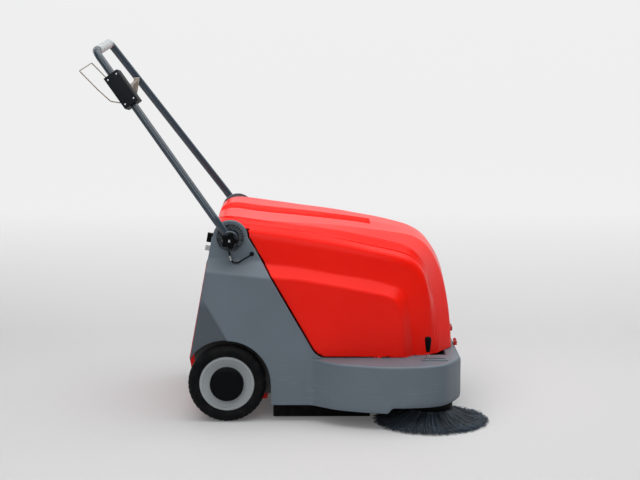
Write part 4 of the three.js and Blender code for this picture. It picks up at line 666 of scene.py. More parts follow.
# A side wall over height and, at each height, over the share of the way from its rear to its front edge.
# Its outside stands at y = half, runs in to the ear over the slanted ledge, turns in by turnIn * share
# behind the crease, and rolls in at both edges as roll * (1 - sqrt(1 - (1 - d / roll)^2)).
def sideWallGrid(side):
    px, pz = shell["pivot"]
    levels = [(shell["bottom"], shell["deck"], shell["wallRows"]), *shell["levels"],
              (shell["lastLevel"], pz, 22)]
    low = np.concatenate([np.linspace(*level) for level in levels])
    turn = np.linspace(0, np.pi / 2, 30)[1:-1]
    z = np.concatenate([low, pz + shell["earRadius"] * np.sin(turn)])[:, None]
    ear = np.sqrt(np.maximum(shell["earRadius"] ** 2 - np.maximum(z - pz, 0) ** 2, 0))
    rear = np.where(z > pz, px - ear, np.minimum(rearX(z), px - ear))
    front = np.where(z > pz, px + ear, seamX(np.maximum(z, shell["deck"])))
    near = shell["fineShare"] * np.linspace(0, 1, 9)[:-1]
    wide = np.linspace(shell["fineShare"], 1 - shell["fineShare"], shell["columns"])
    share = np.concatenate([near, wide, 1 - near[::-1]])[None, :]
    x = rear + (front - rear) * share
    z = np.broadcast_to(z, x.shape).copy()
    beyond = (x > shell["baseStart"]) & (z < shell["deck"] + 1e-6)
    x = np.where(beyond & (z < shell["deck"] - 1e-6), shell["baseStart"], x)
    topLine = shell["ledgeTop"][0] + (shell["ledgeTop"][1] - shell["ledgeTop"][0]) * share
    lowLine = shell["ledgeLow"][0] + (shell["ledgeLow"][1] - shell["ledgeLow"][0]) * share
    t = (z - lowLine) / (topLine - lowLine)
    # a straight slant with both of its corners rounded: the mean of the clipped slant over a small window
    offsets = np.linspace(-shell["slantSoft"], shell["slantSoft"], 9)[:, None, None]
    slant = np.clip(t[None] + offsets, 0, 1).mean(0)
    y = shell["half"] - (shell["half"] - shell["earHalf"]) * slant
    drop = np.clip((shell["creaseTop"] - z) / (shell["creaseTop"] - shell["deck"]), 0, 1.25)
    creaseStart = rearX(shell["creaseTop"]) + shell["creaseInset"]
    creaseX = creaseStart + (shell["creaseLowX"] - creaseStart) * drop
    behind = np.clip((creaseX - x) / np.maximum(creaseX - rear, 1e-4), 0, 1)
    # a quick step just behind the crease, and the rest of the way as a slope
    step = np.clip((creaseX - x) / shell["creaseRun"], 0, 1) * np.clip(drop * 5, 0, 1)
    slope = (shell["turnIn"] - shell["creaseStep"]) * np.clip(drop, 0, 1.1) * behind
    y = y - shell["creaseStep"] * eased(step) - slope
    # the attribute for the painted shade: it rises across the quick step and is 1 over the turned-in recess
    # behind the crease
    paintedShade = step * np.clip((shell["half"] + 0.001 - y) / shell["creaseStep"], 0, 1)
    reach = np.minimum(np.abs(x - rear), np.abs(front - x))
    reach = np.where(z > pz, np.minimum(reach, shell["earRadius"] - np.hypot(x - px, z - pz)), reach)
    short = np.clip(1 - np.maximum(reach, 0) / shell["roll"], 0, 1)
    rolled = z > shell["deck"] - 0.001
    y = y - shell["roll"] * (1 - np.sqrt(1 - short ** 2)) * shell["rollShare"] * rolled
    # the wheel arch: what lies inside it moves out to its edge
    up = z - shell["archZ"]
    away = np.hypot(x, up) + 1e-9
    inArch = (away < shell["archRadius"]) & (up > 0)
    inLeg = (up <= 0) & (x < shell["legX"])
    gone = inArch | inLeg | ((x < 0) & (up <= shell["archFoot"]))
    x = np.where(inArch, x / away * shell["archRadius"], x)
    z = np.where(inArch, shell["archZ"] + up / away * shell["archRadius"], z)
    x = np.where(inLeg, shell["legX"], x)
    faces = gridFaces(*x.shape)
    faces = faces[~gone.ravel()[faces].all(1)]
    faces = faces[~beyond.ravel()[faces].all(1)]
    return np.stack([x, side * y, z], -1) + origin, faces, paintedShade


# The base is an outline carried through a profile of insets and heights: up the wall, over a rounded
# edge of radius e, where inset = e (1 - cos a) and height = deck - e (1 - sin a), and in over the deck
def baseGrid():
    reach, front, half = shell["podReach"], shell["front"], shell["half"]
    pod = np.array([(shell["podStart"] + a * (front - shell["podStart"]), -(half + o * (reach - half)))
                    for a, o in shell["podShares"]])
    start = shell["baseStart"]
    pod = np.vstack([[(start + run, -half - out) for run, out in shell["podLead"]], pod[1:]])
    pod = smoothLine(np.column_stack([pod, np.zeros(len(pod))]), shell["podPoints"])[:, :2]
    turn = np.linspace(0, np.pi / 2, 24)[:, None]
    centre = np.array([front - shell["corner"], half - shell["corner"]])
    corner = centre + shell["corner"] * np.hstack([np.cos(turn), np.sin(turn)])
    straight = np.linspace(shell["straightFrom"], start, 24)
    outline = np.vstack([pod, corner, np.column_stack([straight, np.full(24, half)])])
    # the front runs back by sweepBack * (pace * share)^power from the pod to the far corner
    across = np.clip((outline[:, 1] + shell["sweepFrom"]) / (half + shell["sweepFrom"]), 0, 1)
    back = shell["sweepBack"] * np.minimum(across * shell["sweepPace"], 1) ** shell["sweepPower"]
    outline[:, 0] = np.minimum(outline[:, 0], front - back)
    run = np.gradient(outline, axis=0)
    run /= np.linalg.norm(run, axis=1)[:, None]
    normal = np.stack([-run[:, 1], run[:, 0]], 1)
    # the edge's radius grows from nothing where the side walls stand on the deck
    edgeStart = np.where(outline[:, 1] < 0, shell["edgeStartRight"], shell["edgeStartLeft"])
    grown = np.clip((outline[:, 0] - edgeStart) / shell["edgeGrowth"], 0, 1)
    edge = shell["edge"] * eased(grown)
    step = (outline[:, 0] - shell["stepX"] + shell["stepLead"]) / shell["stepRun"]
    floor = shell["bottom"] + shell["stepUp"] * eased(step)
    rows = []
    for share in np.linspace(0, 1, shell["wallRows"]):
        foot = shell["foot"] * (1 - min(share * 6, 1)) ** 2 * grown
        rows.append(np.column_stack([
            outline + normal * foot[:, None], floor + (shell["deck"] - edge - floor) * share]))
    for a in np.linspace(0, np.pi / 2, 9)[1:]:
        rows.append(np.column_stack([outline + normal * (edge * (1 - math.cos(a)))[:, None],
                                     shell["deck"] - edge * (1 - math.sin(a))]))
    inner = np.column_stack([np.minimum(outline[:, 0], shell["holeFront"]),
                             np.clip(outline[:, 1], -shell["holeHalf"], shell["holeHalf"])])
    rim = rows[-1][:, :2]
    for share in np.linspace(0, 1, 9)[1:]:
        rows.append(np.column_stack([rim + (inner - rim) * share, np.full(len(outline), shell["deck"])]))
    points = np.array(rows) + origin
    return points, gridFaces(*points.shape[:2]), np.zeros(points.shape[:2])


def buildLowerBody():
    verts, faces, paintedShade, count = [], [], [], 0
    for points, quads, tone in (sideWallGrid(-1), sideWallGrid(1), baseGrid()):
        verts.append(points.reshape(-1, 3))
        faces.append(quads + count)
        paintedShade.append(tone.ravel())
        count += tone.size
    # the side walls carry the painted shade of their recess as an attribute; the base's is zero
    piece = newPiece("lower_body_piece", "root", greyBody, np.concatenate(verts),
                     np.concatenate(faces).tolist(), {"paintedShade": np.concatenate(paintedShade)}, 34, False)
    cleaned(piece, origin + shell["middle"], shell["wall"])
    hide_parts("lower_body")


buildLowerBody()

# Moulded and pressed pieces whose model shape is right: node, body, finish, width of the rounding, segments
print("sweeper: body and chassis")
roundedNodes = [
    ("rear_panel", "root", greyPanel, 0.0015, 3),
    ("chassis", "root", blackSteel, 0.0008, 2), ("skirt_right", "root", flapRubber, 0.0008, 2),
    ("front_flap", "root", flapRubber, 0.0008, 2), ("caster_fork", "caster_swivel", zincSteel, 0.0008, 2),
    ("caster_axle", "caster_swivel", zincSteel, 0.0006, 2), ("dirt_hopper", "hopper", redBin, 0.003, 3),
    ("power_knob", "power_knob", blackMould, 0.0012, 3), ("brush_hub", "side_brush", blackMould, 0.0015, 2),
    ("lever_plate", "root", greyBody, 0.0005, 2), ("lever_shaft", "lever", chromeSteel, 0.0004, 2),
    ("switch_box", "handle", blackMould, 0.0022, 4), ("switch_box_cover", "handle", coverMould, 0.0016, 4),
    ("cross_rod", "handle", wireSteel, 0.0006, 2),
]
for node, body, material, width, segments in roundedNodes:
    softened(node, body, material, width, segments)

# Wheels
print("sweeper: wheels")
wheel = {
    "width": 0.052, "outerFace": 0.305, "rimRadius": 0.080, "hubRadius": 0.049, "dish": 0.008,
    "hubRise": 0.009, "bore": 0.0105, "blocks": 44, "grooveDepth": 0.0016, "blockStart": 0.004,
    "blockRamp": 0.004,
    "ringAt": 0.008, "ringWidth": 0.0012, "blockBand": 0.004, "ringBand": 0.002,
    # tyre corners beside the rim and beside the tread: out from it, in from the side, and the bend
    "foot": [(0.0004, 0.006, 0.001), (0.012, 0.001, 0.004)],
    "shoulder": [(-0.012, 0, 0.012), (0, 0.013, 0.010)],
    "rimInset": 0.008, "lipWidth": 0.007, "lipDepth": 0.003, "hubGap": 0.009, "capInset": 0.0004,
    "capBore": 0.0168, "capBoreDepth": 0.012, "capFlat": 0.020,
}
caster = {"bore": 0.0055, "flank": 0.046, "radius": 0.050, "half": 0.015, "treadHalf": 0.009}


# Tread: -depth * the larger of the blocks, which begin blockStart off the middle, and two ring grooves
def tread(angle, radius, height):
    off = np.abs(np.abs(height) - wheel["outerFace"] + wheel["width"] / 2)
    gate = np.clip(np.sin(angle * wheel["blocks"]) * 3 - 1.9, 0, 1)
    blocks = gate * np.clip((off - wheel["blockStart"]) / wheel["blockRamp"], 0, 1)
    blocks = blocks * (radius > wheelRadius - wheel["blockBand"])
    ring = np.exp(-((off - wheel["ringAt"]) / wheel["ringWidth"]) ** 2)
    ring = ring * (radius > wheelRadius - wheel["ringBand"])
    return -wheel["grooveDepth"] * np.maximum(blocks, ring)


def buildWheel(name, side):
    body = f"wheel_{name}"
    centre = origin + [0, 0, wheelRadius]
    outer, inner = wheel["outerFace"], wheel["outerFace"] - wheel["width"]
    rim, hub, bore = wheel["rimRadius"], wheel["hubRadius"], wheel["bore"]
    flank = [(rim + out, inset, bend) for out, inset, bend in wheel["foot"]]
    flank += [(wheelRadius + out, inset, bend) for out, inset, bend in wheel["shoulder"]]
    corners = [(r, inner + inset, bend) for r, inset, bend in flank]
    corners += [(r, outer - inset, bend) for r, inset, bend in flank[::-1]]
    tyre = turnedCorners(f"tyre_{name}_piece", body, tyreRubber, corners, centre, side, turns=5, sides=528,
                         wave=tread)
    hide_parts(f"tyre_{name}")
    face = outer - wheel["dish"]
    dished = face - wheel["dish"]
    lip = rim - wheel["lipWidth"]
    disc = turnedCorners(f"rim_{name}_piece", body, rimMould, [
        (bore, inner + 0.010, 0), (rim, inner + wheel["rimInset"], 0.001), (rim, face, 0.0018),
        (lip, face, 0.002),
        (lip - 0.004, face - wheel["lipDepth"], 0.003), (hub + wheel["hubGap"], dished + 0.001, 0.003),
        (hub + 0.004, dished, 0.002), (bore, dished, 0)], centre, side, sides=128)
    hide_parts(f"rim_{name}")
    capTop, capLow = outer + wheel["hubRise"], dished + wheel["capInset"]
    capBack = dished + wheel["capBoreDepth"]
    cap = turnedCorners(f"hub_cap_{name}_piece", body, blackMould, [
        (0, capBack, 0), (wheel["capBore"], capBack, 0), (wheel["capBore"], capLow, 0), (hub, capLow, 0.001),
        (hub, capTop - 0.005, 0.004), (hub - 0.008, capTop - 0.0006, 0.006),
        (wheel["capFlat"], capTop - 0.0002, 0.02), (0, capTop, 0)], centre, side, False, 5, sides=96)
    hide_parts(f"hub_cap_{name}")


buildWheel("right", -1)
buildWheel("left", 1)
casterMiddle = np.mean(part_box("caster_wheel"), axis=0)
casterPiece = turnedCorners("caster_wheel_piece", "caster_roller", tyreRubber, [
    (caster["bore"], -caster["half"], 0), (caster["flank"], -caster["half"], 0.004),
    (caster["radius"], -caster["treadHalf"], 0.005), (caster["radius"], caster["treadHalf"], 0.005),
    (caster["flank"], caster["half"], 0.004), (caster["bore"], caster["half"], 0)], casterMiddle, sides=96)
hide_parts("caster_wheel")

# Handle
print("sweeper: handle")
handle = {
    "pivot": (0.012, 0.538), "tubeRadius": 0.011, "foot": 0.2946, "knee": 0.11, "bend": 0.026,
    "kneeBend": 0.06,
    "bar": (-0.373, 1.064), "barHalf": 0.186, "tubeNormal": (0.81, 0.0, 0.59),
    "gripHalf": 0.150, "gripRadii": (0.0114, 0.014), "gripBend": 0.0022,
    "lugRadii": (0.0063, 0.024), "lugHeights": (0.2826, 0.3066), "lugBend": 0.003,
    "boxShare": 0.68, "boxFace": 0.0325, "screwX": 0.015, "screwZ": (0.011, 0.096),
    "screwRadius": 0.0026, "screwHeight": 0.0009,
}
pivotPlace = origin + [handle["pivot"][0], 0, handle["pivot"][1]]


def tubePoint(side, share):
    foot = np.array([handle["pivot"][0], side * handle["foot"], handle["pivot"][1]])
    head = np.array([handle["bar"][0], side * handle["barHalf"], handle["bar"][1]])
    knee = foot + (head - foot) * handle["knee"]
    knee[1] = foot[1]
    return foot, knee, knee + (head - knee) * share


footR, kneeR, headR = tubePoint(-1, 1.0)
footL, kneeL, headL = tubePoint(1, 1.0)
bends = [0, handle["kneeBend"], handle["bend"]]
tube = roundedBar("handle_tube_piece", "handle", slateTube,
                  [p + origin for p in (footR, kneeR, headR, headL, kneeL, footL)], handle["tubeRadius"],
                  bends + bends[::-1], sides=32, up=handle["tubeNormal"], turns=14)
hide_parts("handle_tube")
for name, side in (("right", -1), ("left", 1)):
    sleeve(f"handle_lug_{name}", "handle", slateTube, handle["lugRadii"], handle["lugHeights"],
           handle["lugBend"], pivotPlace, side=side, sides=64)
grip = sleeve("handle_grip_piece", "handle", paleFoam, handle["gripRadii"],
              (-handle["gripHalf"], handle["gripHalf"]), handle["gripBend"],
              origin + [handle["bar"][0], 0, handle["bar"][1]], sides=48)
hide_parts("handle_grip")


# A frame laid along the near tube: x out from the user, y across the machine, z up the tube
def onTube(share, points):
    _, knee, head = tubePoint(-1, 1.0)
    _, _, place = tubePoint(-1, share)
    along = (head - knee) / np.linalg.norm(head - knee)
    across = np.array([0, 1, 0]) - along[1] * along
    across /= np.linalg.norm(across)
    out = np.cross(across, along)
    points = np.asarray(points, float)
    return place + origin + points[..., :1] * out + points[..., 1:2] * across + points[..., 2:] * along


# A pan-head screw with a round recess, turned about the way it faces: shares of its radius and its height
def screwHead(name, body, centre, facing, radius, height, sides=24):
    profile = np.array([(0, 0.55), (0.30, 0.55), (0.34, 1), (0.75, 0.86), (0.97, 0.45), (1, 0), (0, -0.3)])
    angle = np.linspace(0, 2 * np.pi, sides, endpoint=False)[:, None, None]
    first = np.cross(facing, (0.3, 0.1, 0.9))
    first /= np.linalg.norm(first)
    second = np.cross(facing, first)
    out, up = profile[None, :, :1] * radius, profile[None, :, 1:] * height
    points = centre + out * np.cos(angle) * first + out * np.sin(angle) * second + up * facing
    return newPiece(name, body, zincSteel, points, gridFaces(sides, len(profile), True))


facing = onTube(0, [0, -1, 0]) - onTube(0, [0, 0, 0])
screwPlaces = [(side * handle["screwX"], -handle["boxFace"], z) for side in (-1, 1) for z in handle["screwZ"]]
for number, place in enumerate(screwPlaces):
    screwHead(f"box_screw_{number + 1}", "handle", onTube(handle["boxShare"], place), facing,
              handle["screwRadius"], handle["screwHeight"])

# Bail: places are lengths along the tube and out behind it, in side view
bail = {"share": 0.714, "turns": [(0, 0.031), (0.0267, 0.0573), (0.076, 0.0671), (0.1503, 0.0771)],
        "half": 0.150, "pinEnd": 0.175, "radius": 0.0018, "bend": 0.008, "up": (0.55, 0.31, 0.77)}
_, kneeSide, headSide = tubePoint(1, 1.0)
sideRun = (headSide - kneeSide) * [1, 0, 1]
bailStart = kneeSide + sideRun * bail["share"]
sideRun /= np.linalg.norm(sideRun)
bailTurns = [(bailStart[0] + sideRun[0] * a - sideRun[2] * o, bailStart[2] + sideRun[2] * a + sideRun[0] * o)
             for a, o in bail["turns"]]
leg = [(bailTurns[0][0], bail["pinEnd"], bailTurns[0][1])] + [(x, bail["half"], z) for x, z in bailTurns]
bailPath = [np.array([x, -y, z]) + origin for x, y, z in leg] + [np.array(p) + origin for p in leg[::-1]]
bailWire = roundedBar("bail_wire_piece", "bail", wireSteel, bailPath, bail["radius"], bail["bend"], 14,
                      bail["up"], 8)
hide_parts("bail_wire")

# Toothed ring and clamp knob on each ear
pivot = {
    "ringRadius": 0.0395, "toothDepth": 0.002, "grooveDepth": 0.0022, "teeth": 28, "toothShape": 1.6,
    "ringHigh": 0.2823, "plainRadii": [0.001, 0.020, 0.0252], "grooves": (0.0262, 0.0382, 7),
    "edgeRadii": [0.0389, 0.0395, 0.0395], "edgeDrops": [0, 0.0008, 0.0139], "rimGap": 0.0001,
    "highlightWidth": 0.9, "highlightShare": 0.35,
    "knobLow": 0.3146, "knobFace": 0.3351, "knobHigh": 0.3364, "knobRadius": 0.0215, "lobe": 0.0032,
    "lobes": 5, "knobEdge": 0.0035, "collarRadius": 0.013, "collarLow": 0.3069, "collarIn": 0.001,
    "collarBends": (0.0008, 0.0005), "boltRadius": 0.004, "boltIn": 0.0005, "boltBend": 0.0006,
}
knobAngles = np.linspace(0, 2 * np.pi, 160, endpoint=False)
knobOutline = (pivot["knobRadius"] + pivot["lobe"] * np.cos(pivot["lobes"] * knobAngles))[:, None] * np.stack(
    [np.cos(knobAngles), np.sin(knobAngles)], 1)


# The ring's face sinks by grooveDepth * gap(angle) from the first to the last groove radius, and its edge
# runs in by toothDepth * gap(angle), with gap = 0.5 - 0.5 * the clipped cosine of teeth * angle
def ringGrid(place):
    angles = np.linspace(0, 2 * np.pi, pivot["teeth"] * 12, endpoint=False)
    tooth = np.clip(pivot["toothShape"] * np.cos(pivot["teeth"] * angles), -1, 1)[None, :]
    gap = 0.5 - 0.5 * tooth
    grooves = np.linspace(*pivot["grooves"])
    radii = np.concatenate([pivot["plainRadii"], grooves, pivot["edgeRadii"]])[:, None]
    onFace = ((radii >= grooves[0]) & (radii <= grooves[-1])) * 1.0
    reach = np.minimum(radii, pivot["ringRadius"] - pivot["toothDepth"] * gap - pivot["rimGap"])
    drop = np.concatenate([np.zeros(len(radii) - 3), pivot["edgeDrops"]])[:, None]
    rise = pivot["ringHigh"] - pivot["grooveDepth"] * onFace * gap - drop
    # the rim attribute places the painted highlight: strongest on the flanks between teeth and grooves on the
    # face, and on the outer edge's teeth
    rim = np.exp(-((tooth / pivot["highlightWidth"]) ** 2)) * onFace
    rim = rim + (radii > grooves[-1]) * pivot["highlightShare"] * (tooth > 0)
    return place(reach * np.cos(angles), reach * np.sin(angles), rise), rim


def buildPivot(name, side):
    knob = f"knob_{name}"

    def beside(x, z, y):
        return np.stack([x, side * y, z], -1) + pivotPlace
    points, rim = ringGrid(beside)
    # the rim attribute carries the painted highlight to the finish
    ring = surface(f"tooth_ring_{name}_piece", "root", paintedHighlightTeeth, points, attributes={"rim": rim}, smooth=30)
    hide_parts(f"tooth_ring_{name}")
    knobPiece = slab(f"clamp_knob_{name}_piece", knob, blackMould, knobOutline, pivot["knobLow"],
                     pivot["knobFace"], pivot["knobEdge"], beside, turns=5)
    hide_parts(f"clamp_knob_{name}")
    low, high, radius = pivot["knobFace"] - pivot["boltIn"], pivot["knobHigh"], pivot["boltRadius"]
    turnedCorners(f"knob_bolt_{name}", knob, zincSteel,
                  [(0, low, 0), (radius, low, 0), (radius, high, pivot["boltBend"]), (0, high, 0)],
                  pivotPlace, side, False, 3, sides=6)
    low, high, radius = pivot["collarLow"], pivot["knobLow"] + pivot["collarIn"], pivot["collarRadius"]
    lowBend, highBend = pivot["collarBends"]
    turnedCorners(f"knob_collar_{name}", knob, blackMould,
                  [(0, low, 0), (radius, low, lowBend), (radius, high, highBend), (0, high, 0)],
                  pivotPlace, side, False, 3, sides=48)


buildPivot("right", -1)
buildPivot("left", 1)

# Short cable from the ring to the hole in the ear, with its sleeve and grommet
cable = {
    "y": -0.278, "radius": 0.0022, "earFace": -0.268, "sunk": 0.0006, "bend": 0.0015, "up": (0.2, 0.9, 0.1),
    "run": [(-0.004, -0.040), (0.001, -0.059), (0.006, -0.0695), (0.020, -0.072), (0.042, -0.0605),
            (0.061, -0.049)],
    "end": (0.0615, -0.0487), "points": 60, "sleeve": (8, 22), "sleeveRadius": 0.0036,
    "grommetBore": 0.0026, "grommetLow": (0.0066, 0.2679), "grommetHigh": (0.0060, 0.2700),
    "grommetBend": 0.0006,
}
cableEnd = np.array([cable["end"][0], 0, cable["end"][1]])
cablePath = smoothLine([(x, cable["y"], z) for x, z in cable["run"]], cable["points"])
cablePath = np.vstack([cablePath, cableEnd + [0, cable["earFace"] - cable["sunk"], 0]])
cablePath = rounded(pivotPlace + cablePath, cable["bend"], 2)
cord = surface("control_cable_piece", "root", cableRubber,
               swept(cablePath, circle(cable["radius"], 14), cable["up"]))
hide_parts("control_cable")
surface("cable_sleeve", "root", zincSteel,
        swept(cablePath[slice(*cable["sleeve"])], circle(cable["sleeveRadius"], 20), cable["up"]))
(lowRadius, low), (highRadius, high), soft = cable["grommetLow"], cable["grommetHigh"], cable["grommetBend"]
turnedCorners("cable_grommet", "root", blackMould, [
    (cable["grommetBore"], low, soft), (lowRadius, low, soft), (highRadius, high, soft),
    (cable["grommetBore"], high, soft)], pivotPlace + cableEnd, -1, turns=3, sides=40)

# Lever at the front corner
print("sweeper: lever and brush")
lever = {
    "x": 0.581, "y": -0.305, "low": 0.209, "high": 0.255, "lowRadius": 0.006, "highRadius": 0.010,
    "footRadius": 0.0046, "footRise": 0.003, "neck": 0.010, "neckIn": 0.0002, "crown": 0.002,
    "crownRadius": 0.008,
}
leverGrip = turnedCorners("lever_grip_piece", "lever", blackMould, [
    (0, lever["low"], 0), (lever["footRadius"], lever["low"], 0.001),
    (lever["lowRadius"], lever["low"] + lever["footRise"], 0.003),
    (lever["highRadius"] - lever["neckIn"], lever["high"] - lever["neck"], 0.006),
    (lever["crownRadius"], lever["high"] - lever["crown"], 0.004), (0, lever["high"], 0)],
    origin + [lever["x"], lever["y"], 0], closed=False, turns=6, axis="z", sides=48)
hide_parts("lever_grip")

# Side brush: each strand leaves the ring at its root, runs out to its own reach, and drops as 1 - (1 - t)^k
brush = {
    "x": 0.592, "y": -0.290, "innerRoot": 0.035, "outerRoot": 0.061, "rootHeight": 0.0445, "reach": 0.1712,
    "shortest": 0.140, "strands": 2100, "width": 0.00085, "tufts": 46, "sides": 4, "spread": 0.26,
    "ringAt": [0, 0.06, 0.13, 0.25, 0.4, 0.55, 0.7, 0.85, 1], "taper": (1.1, 0.45),
    "rowShare": 0.75, "reachShare": 0.32, "tipLow": 0.0028, "tipRise": 0.0075, "tipPower": 1.6,
    "drop": 1.5, "dropMore": 1.1, "dropInner": 0.5, "sweep": (0.07, 0.06), "floor": 0.0021,
    "bareTo": 0.060, "foldSlope": 1.15, "foldRun": 0.0085,
    "ringHeights": (0.040, 0.0457), "ringRadii": (0.034, 0.062), "ringBend": 0.001,
}


def buildBristles():
    count, sides, rings = brush["strands"], brush["sides"], len(brush["ringAt"])
    row = rng.random(count)
    tuft = rng.integers(0, brush["tufts"], count)
    angle = (tuft + 0.5 + rng.normal(0, brush["spread"], count)) * 2 * np.pi / brush["tufts"]
    root = brush["innerRoot"] + (brush["outerRoot"] - brush["innerRoot"]) * row
    longer = np.clip(row * brush["rowShare"] + rng.random(count) * brush["reachShare"], 0, 1)
    ends = brush["shortest"] + (brush["reach"] - brush["shortest"]) * longer
    tipHeight = brush["tipLow"] + brush["tipRise"] * rng.random(count) ** brush["tipPower"]
    drop = brush["drop"] + brush["dropMore"] * rng.random(count) + brush["dropInner"] * (1 - row)
    sweep = rng.normal(*brush["sweep"], count)
    t = np.array(brush["ringAt"])[None, :]
    r = root[:, None] + (ends - root)[:, None] * t
    z = brush["rootHeight"] - (brush["rootHeight"] - tipHeight)[:, None] * (1 - (1 - t) ** drop[:, None])
    # just outside the ring they fold down by foldSlope * the way, clear of the post when the brush is lifted
    fold = brush["foldSlope"] * np.clip(r - brush["bareTo"], 0, brush["foldRun"])
    z = np.minimum(z, brush["rootHeight"] - fold)
    a = angle[:, None] + sweep[:, None] * t ** 2
    path = np.stack([r * np.cos(a), r * np.sin(a), z], -1)
    run = np.gradient(path, axis=1)
    run /= np.linalg.norm(run, axis=2, keepdims=True)
    across = np.cross(run, (0, 0, 1.0))
    across /= np.linalg.norm(across, axis=2, keepdims=True)
    over = np.cross(across, run)
    turn = np.arange(sides) * 2 * np.pi / sides
    size = (brush["width"] * (brush["taper"][0] - brush["taper"][1] * t))[..., None, None]
    points = path[:, :, None] + size * (
        np.cos(turn)[:, None] * across[:, :, None] + np.sin(turn)[:, None] * over[:, :, None])
    points[..., 2] = np.maximum(points[..., 2], brush["floor"])
    points = points + origin + [brush["x"], brush["y"], 0]
    tone = np.broadcast_to(rng.random(count)[:, None, None], points.shape[:3])
    reach = np.broadcast_to(t[..., None], points.shape[:3])
    one = gridFaces(rings, sides, False, True)
    lid = np.array([range(sides)[::-1], [(rings - 1) * sides + k for k in range(sides)]])
    one = np.concatenate([one[:, ::-1], lid])
    faces = (np.arange(count) * rings * sides)[:, None, None] + one[None]
    piece = newPiece("bristle_crown", "side_brush", brushStrands, points, faces.reshape(-1, 4).tolist(),
                     {"strandTone": tone, "strandReach": reach}, smooth=None, outward=False)
    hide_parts("bristles_1", "bristles_2", "bristles_3", "bristles_4")
    sleeve("bristle_ring", "side_brush", blackMould, brush["ringRadii"], brush["ringHeights"],
           brush["ringBend"], origin + [brush["x"], brush["y"], 0], brush["ringBend"], turns=3, axis="z",
           sides=96)


buildBristles()

# Main roller: rows of strands wound round it, as radius - depth * s^3 with
# s = 0.5 - 0.5 cos(rows * (angle + twist * height)), less an inset and the fine waves of its tufts
rollerLow, rollerHigh = np.array(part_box("main_brush"))
rollerCentre = (rollerLow + rollerHigh) / 2
roller = {
    "radius": 0.1289, "half": 0.228, "shaft": 0.012, "shaftBend": 0.0008, "rows": 8, "twist": 9.0,
    "depth": 0.009, "inset": 0.0013, "stations": 90, "tuftDepth": 0.0012, "tuftAlong": 900, "tuftRound": 90,
}


def rollerWave(angle, radius, height):
    rows = 0.5 - 0.5 * np.cos(roller["rows"] * (angle + roller["twist"] * height))
    tuft = roller["tuftDepth"] * np.sin(height * roller["tuftAlong"]) * np.sin(angle * roller["tuftRound"])
    return -(roller["depth"] * rows ** 3 + roller["inset"] + tuft) * (radius > 0)


rollerLine = [(roller["radius"], y) for y in np.linspace(-roller["half"], roller["half"],
                                                         roller["stations"])]
rollerPiece = turned("main_brush_piece", "roller", brushStrands,
                     [(0, -roller["half"]), *rollerLine, (0, roller["half"])],
                     [rollerCentre[0], middleY, rollerCentre[2]], sides=360, wave=rollerWave)
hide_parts("main_brush")
sleeve("main_brush_shaft", "roller", zincSteel, (0, roller["shaft"]), (rollerLow[1], rollerHigh[1]),
       roller["shaftBend"], [rollerCentre[0], 0, rollerCentre[2]], turns=3, sides=40)

# The bar that the dirt hopper is pulled out by, across the recess in its rear wall
barLow, barHigh = np.array(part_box("hopper_handle"))
barRadius, barHalf, barBend = (barHigh[2] - barLow[2]) / 2, (barHigh[1] - barLow[1]) / 2, 0.001
pullBar = sleeve("hopper_handle_piece", "hopper", blackMould, (0, barRadius), (-barHalf, barHalf), barBend,
                 (barLow + barHigh) / 2, sides=48)
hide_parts("hopper_handle")

# Floor and backdrop, pale to the camera and in reflections
print("sweeper: stage, lights and camera")
stage = {"tone": (0.60, 0.60, 0.605), "speck": (0.3, 0.3, 0.3), "grain": 0.5, "glow": (0.89, 0.89, 0.893),
         "glowLow": 0.08, "glowRise": 0.85, "glowTo": 0.35, "wallY": 1.5, "front": -7.5, "half": 9.0,
         "top": 6.0, "bend": 0.6, "under": -0.0005}


def stageFinish(name):
    finish = Finish(name)
    speck = finish.noise(160.0, 3.0, 0.6) * stage["grain"]
    finish.set(baseColor=finish.mix(speck, stage["tone"], between(stage["tone"], stage["speck"], 0.3)),
               roughness=0.75)
    path = finish.node("ShaderNodeLightPath", {}, {})
    seen = Wire(finish, path.outputs["Is Camera Ray"]) + Wire(finish, path.outputs["Is Glossy Ray"])
    seen = seen.clipped() * (
        finish.along("Z").step(0.0, stage["glowTo"]) * stage["glowRise"] + stage["glowLow"])
    glow = finish.node("ShaderNodeEmission", {}, {"Color": stage["glow"], "Strength": 1.0})
    mixed = finish.node("ShaderNodeMixShader", {}, {
        0: seen, 1: Wire(finish, finish.shader.outputs[0]), 2: Wire(finish, glow.outputs[0])})
    # seen from its back the wall is clear, so that the machine shows from every side
    facing = finish.node("ShaderNodeNewGeometry", {}, {})
    clear = finish.node("ShaderNodeBsdfTransparent", {}, {})
    oneSided = finish.node("ShaderNodeMixShader", {}, {
        0: Wire(finish, facing.outputs["Backfacing"]), 1: Wire(finish, mixed.outputs[0]),
        2: Wire(finish, clear.outputs[0])})
    finish.tree.links.new(oneSided.outputs[0], finish.tree.nodes["Material Output"].inputs["Surface"])
    return finish.material


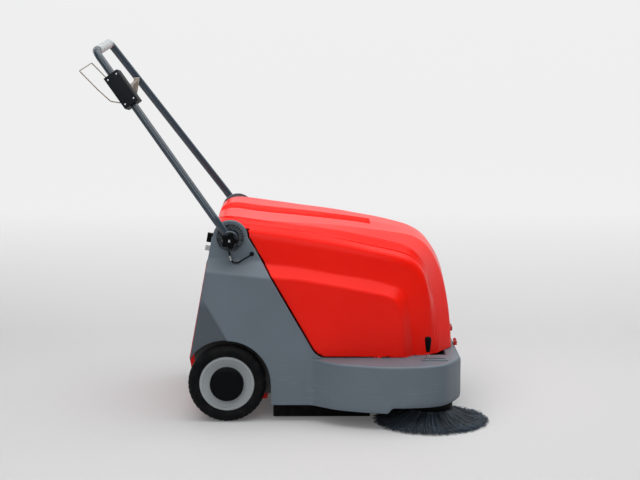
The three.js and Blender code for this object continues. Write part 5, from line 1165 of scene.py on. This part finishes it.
turn = np.linspace(0, np.pi / 2, 12)
start = stage["wallY"] - stage["bend"]
curve = zip(start + stage["bend"] * np.sin(turn), stage["bend"] * (1 - np.cos(turn)))
profile = [(stage["front"], 0.0), *curve, (stage["wallY"], stage["top"])]
behind = [(start, stage["under"]), (-stage["front"], stage["under"])]
paleFloor = stageFinish("paleFloor")
for name, line in (("floor_and_wall", profile), ("floor_behind", behind)):
    points = np.array([[(x, y, z) for x in (-stage["half"], stage["half"])] for y, z in line])
    stageMesh = bpy.data.meshes.new(name)
    stageMesh.from_pydata(points.reshape(-1, 3), [], gridFaces(len(line), 2).tolist())
    stageMesh.shade_smooth()
    stageMesh.materials.append(paleFloor)
    stagePiece = bpy.data.objects.new(name, stageMesh)
    bpy.context.scene.collection.objects.link(stagePiece)

lamps = {
    "ceiling": {"place": (0.2, -0.6, 3.4), "aim": (0.0, 0.0, 0.3), "size": (5.0, 3.2), "power": 125},
    "front": {"place": (-0.8, -4.6, 2.6), "aim": (0.0, 0.0, 0.4), "size": (4.5, 2.5), "power": 68},
    "rearSky": {"place": (0.6, 1.2, 2.8), "aim": (0.1, 0.2, 0.5), "size": (4.5, 1.6), "power": 26},
}
for name, given in lamps.items():
    light = bpy.data.lights.new(name, "AREA")
    light.shape, light.size, light.size_y, light.energy = "RECTANGLE", *given["size"], given["power"]
    lamp = bpy.data.objects.new(name, light)
    bpy.context.scene.collection.objects.link(lamp)
    lamp.location = given["place"]
    aim = np.array(given["aim"]) - np.array(given["place"])
    yaw = math.atan2(aim[1], aim[0]) - math.pi / 2
    tilt = math.atan2(math.hypot(aim[0], aim[1]), -aim[2])
    lamp.rotation_euler = (tilt, 0, yaw)

world = bpy.data.worlds.new("room")
bpy.context.scene.world = world
world.use_nodes = True
world.node_tree.nodes["Background"].inputs[0].default_value = (0.93, 0.94, 0.96, 1)
world.node_tree.nodes["Background"].inputs[1].default_value = 0.16

camera = {"focal": 1900, "frame": 640, "place": (0.2697, -5.6472, 1.4495), "pitch": 9.7}
eye = bpy.data.objects.new("camera", bpy.data.cameras.new("camera"))
bpy.context.scene.collection.objects.link(eye)
eye.data.sensor_width = 36.0
eye.data.lens = eye.data.sensor_width * camera["focal"] / camera["frame"]
eye.location = np.array(camera["place"]) + origin
eye.rotation_euler = (math.radians(90 - camera["pitch"]), 0, 0)
bpy.context.scene.camera = eye
bpy.context.scene.view_settings.view_transform = "Standard"

print("sweeper: done")
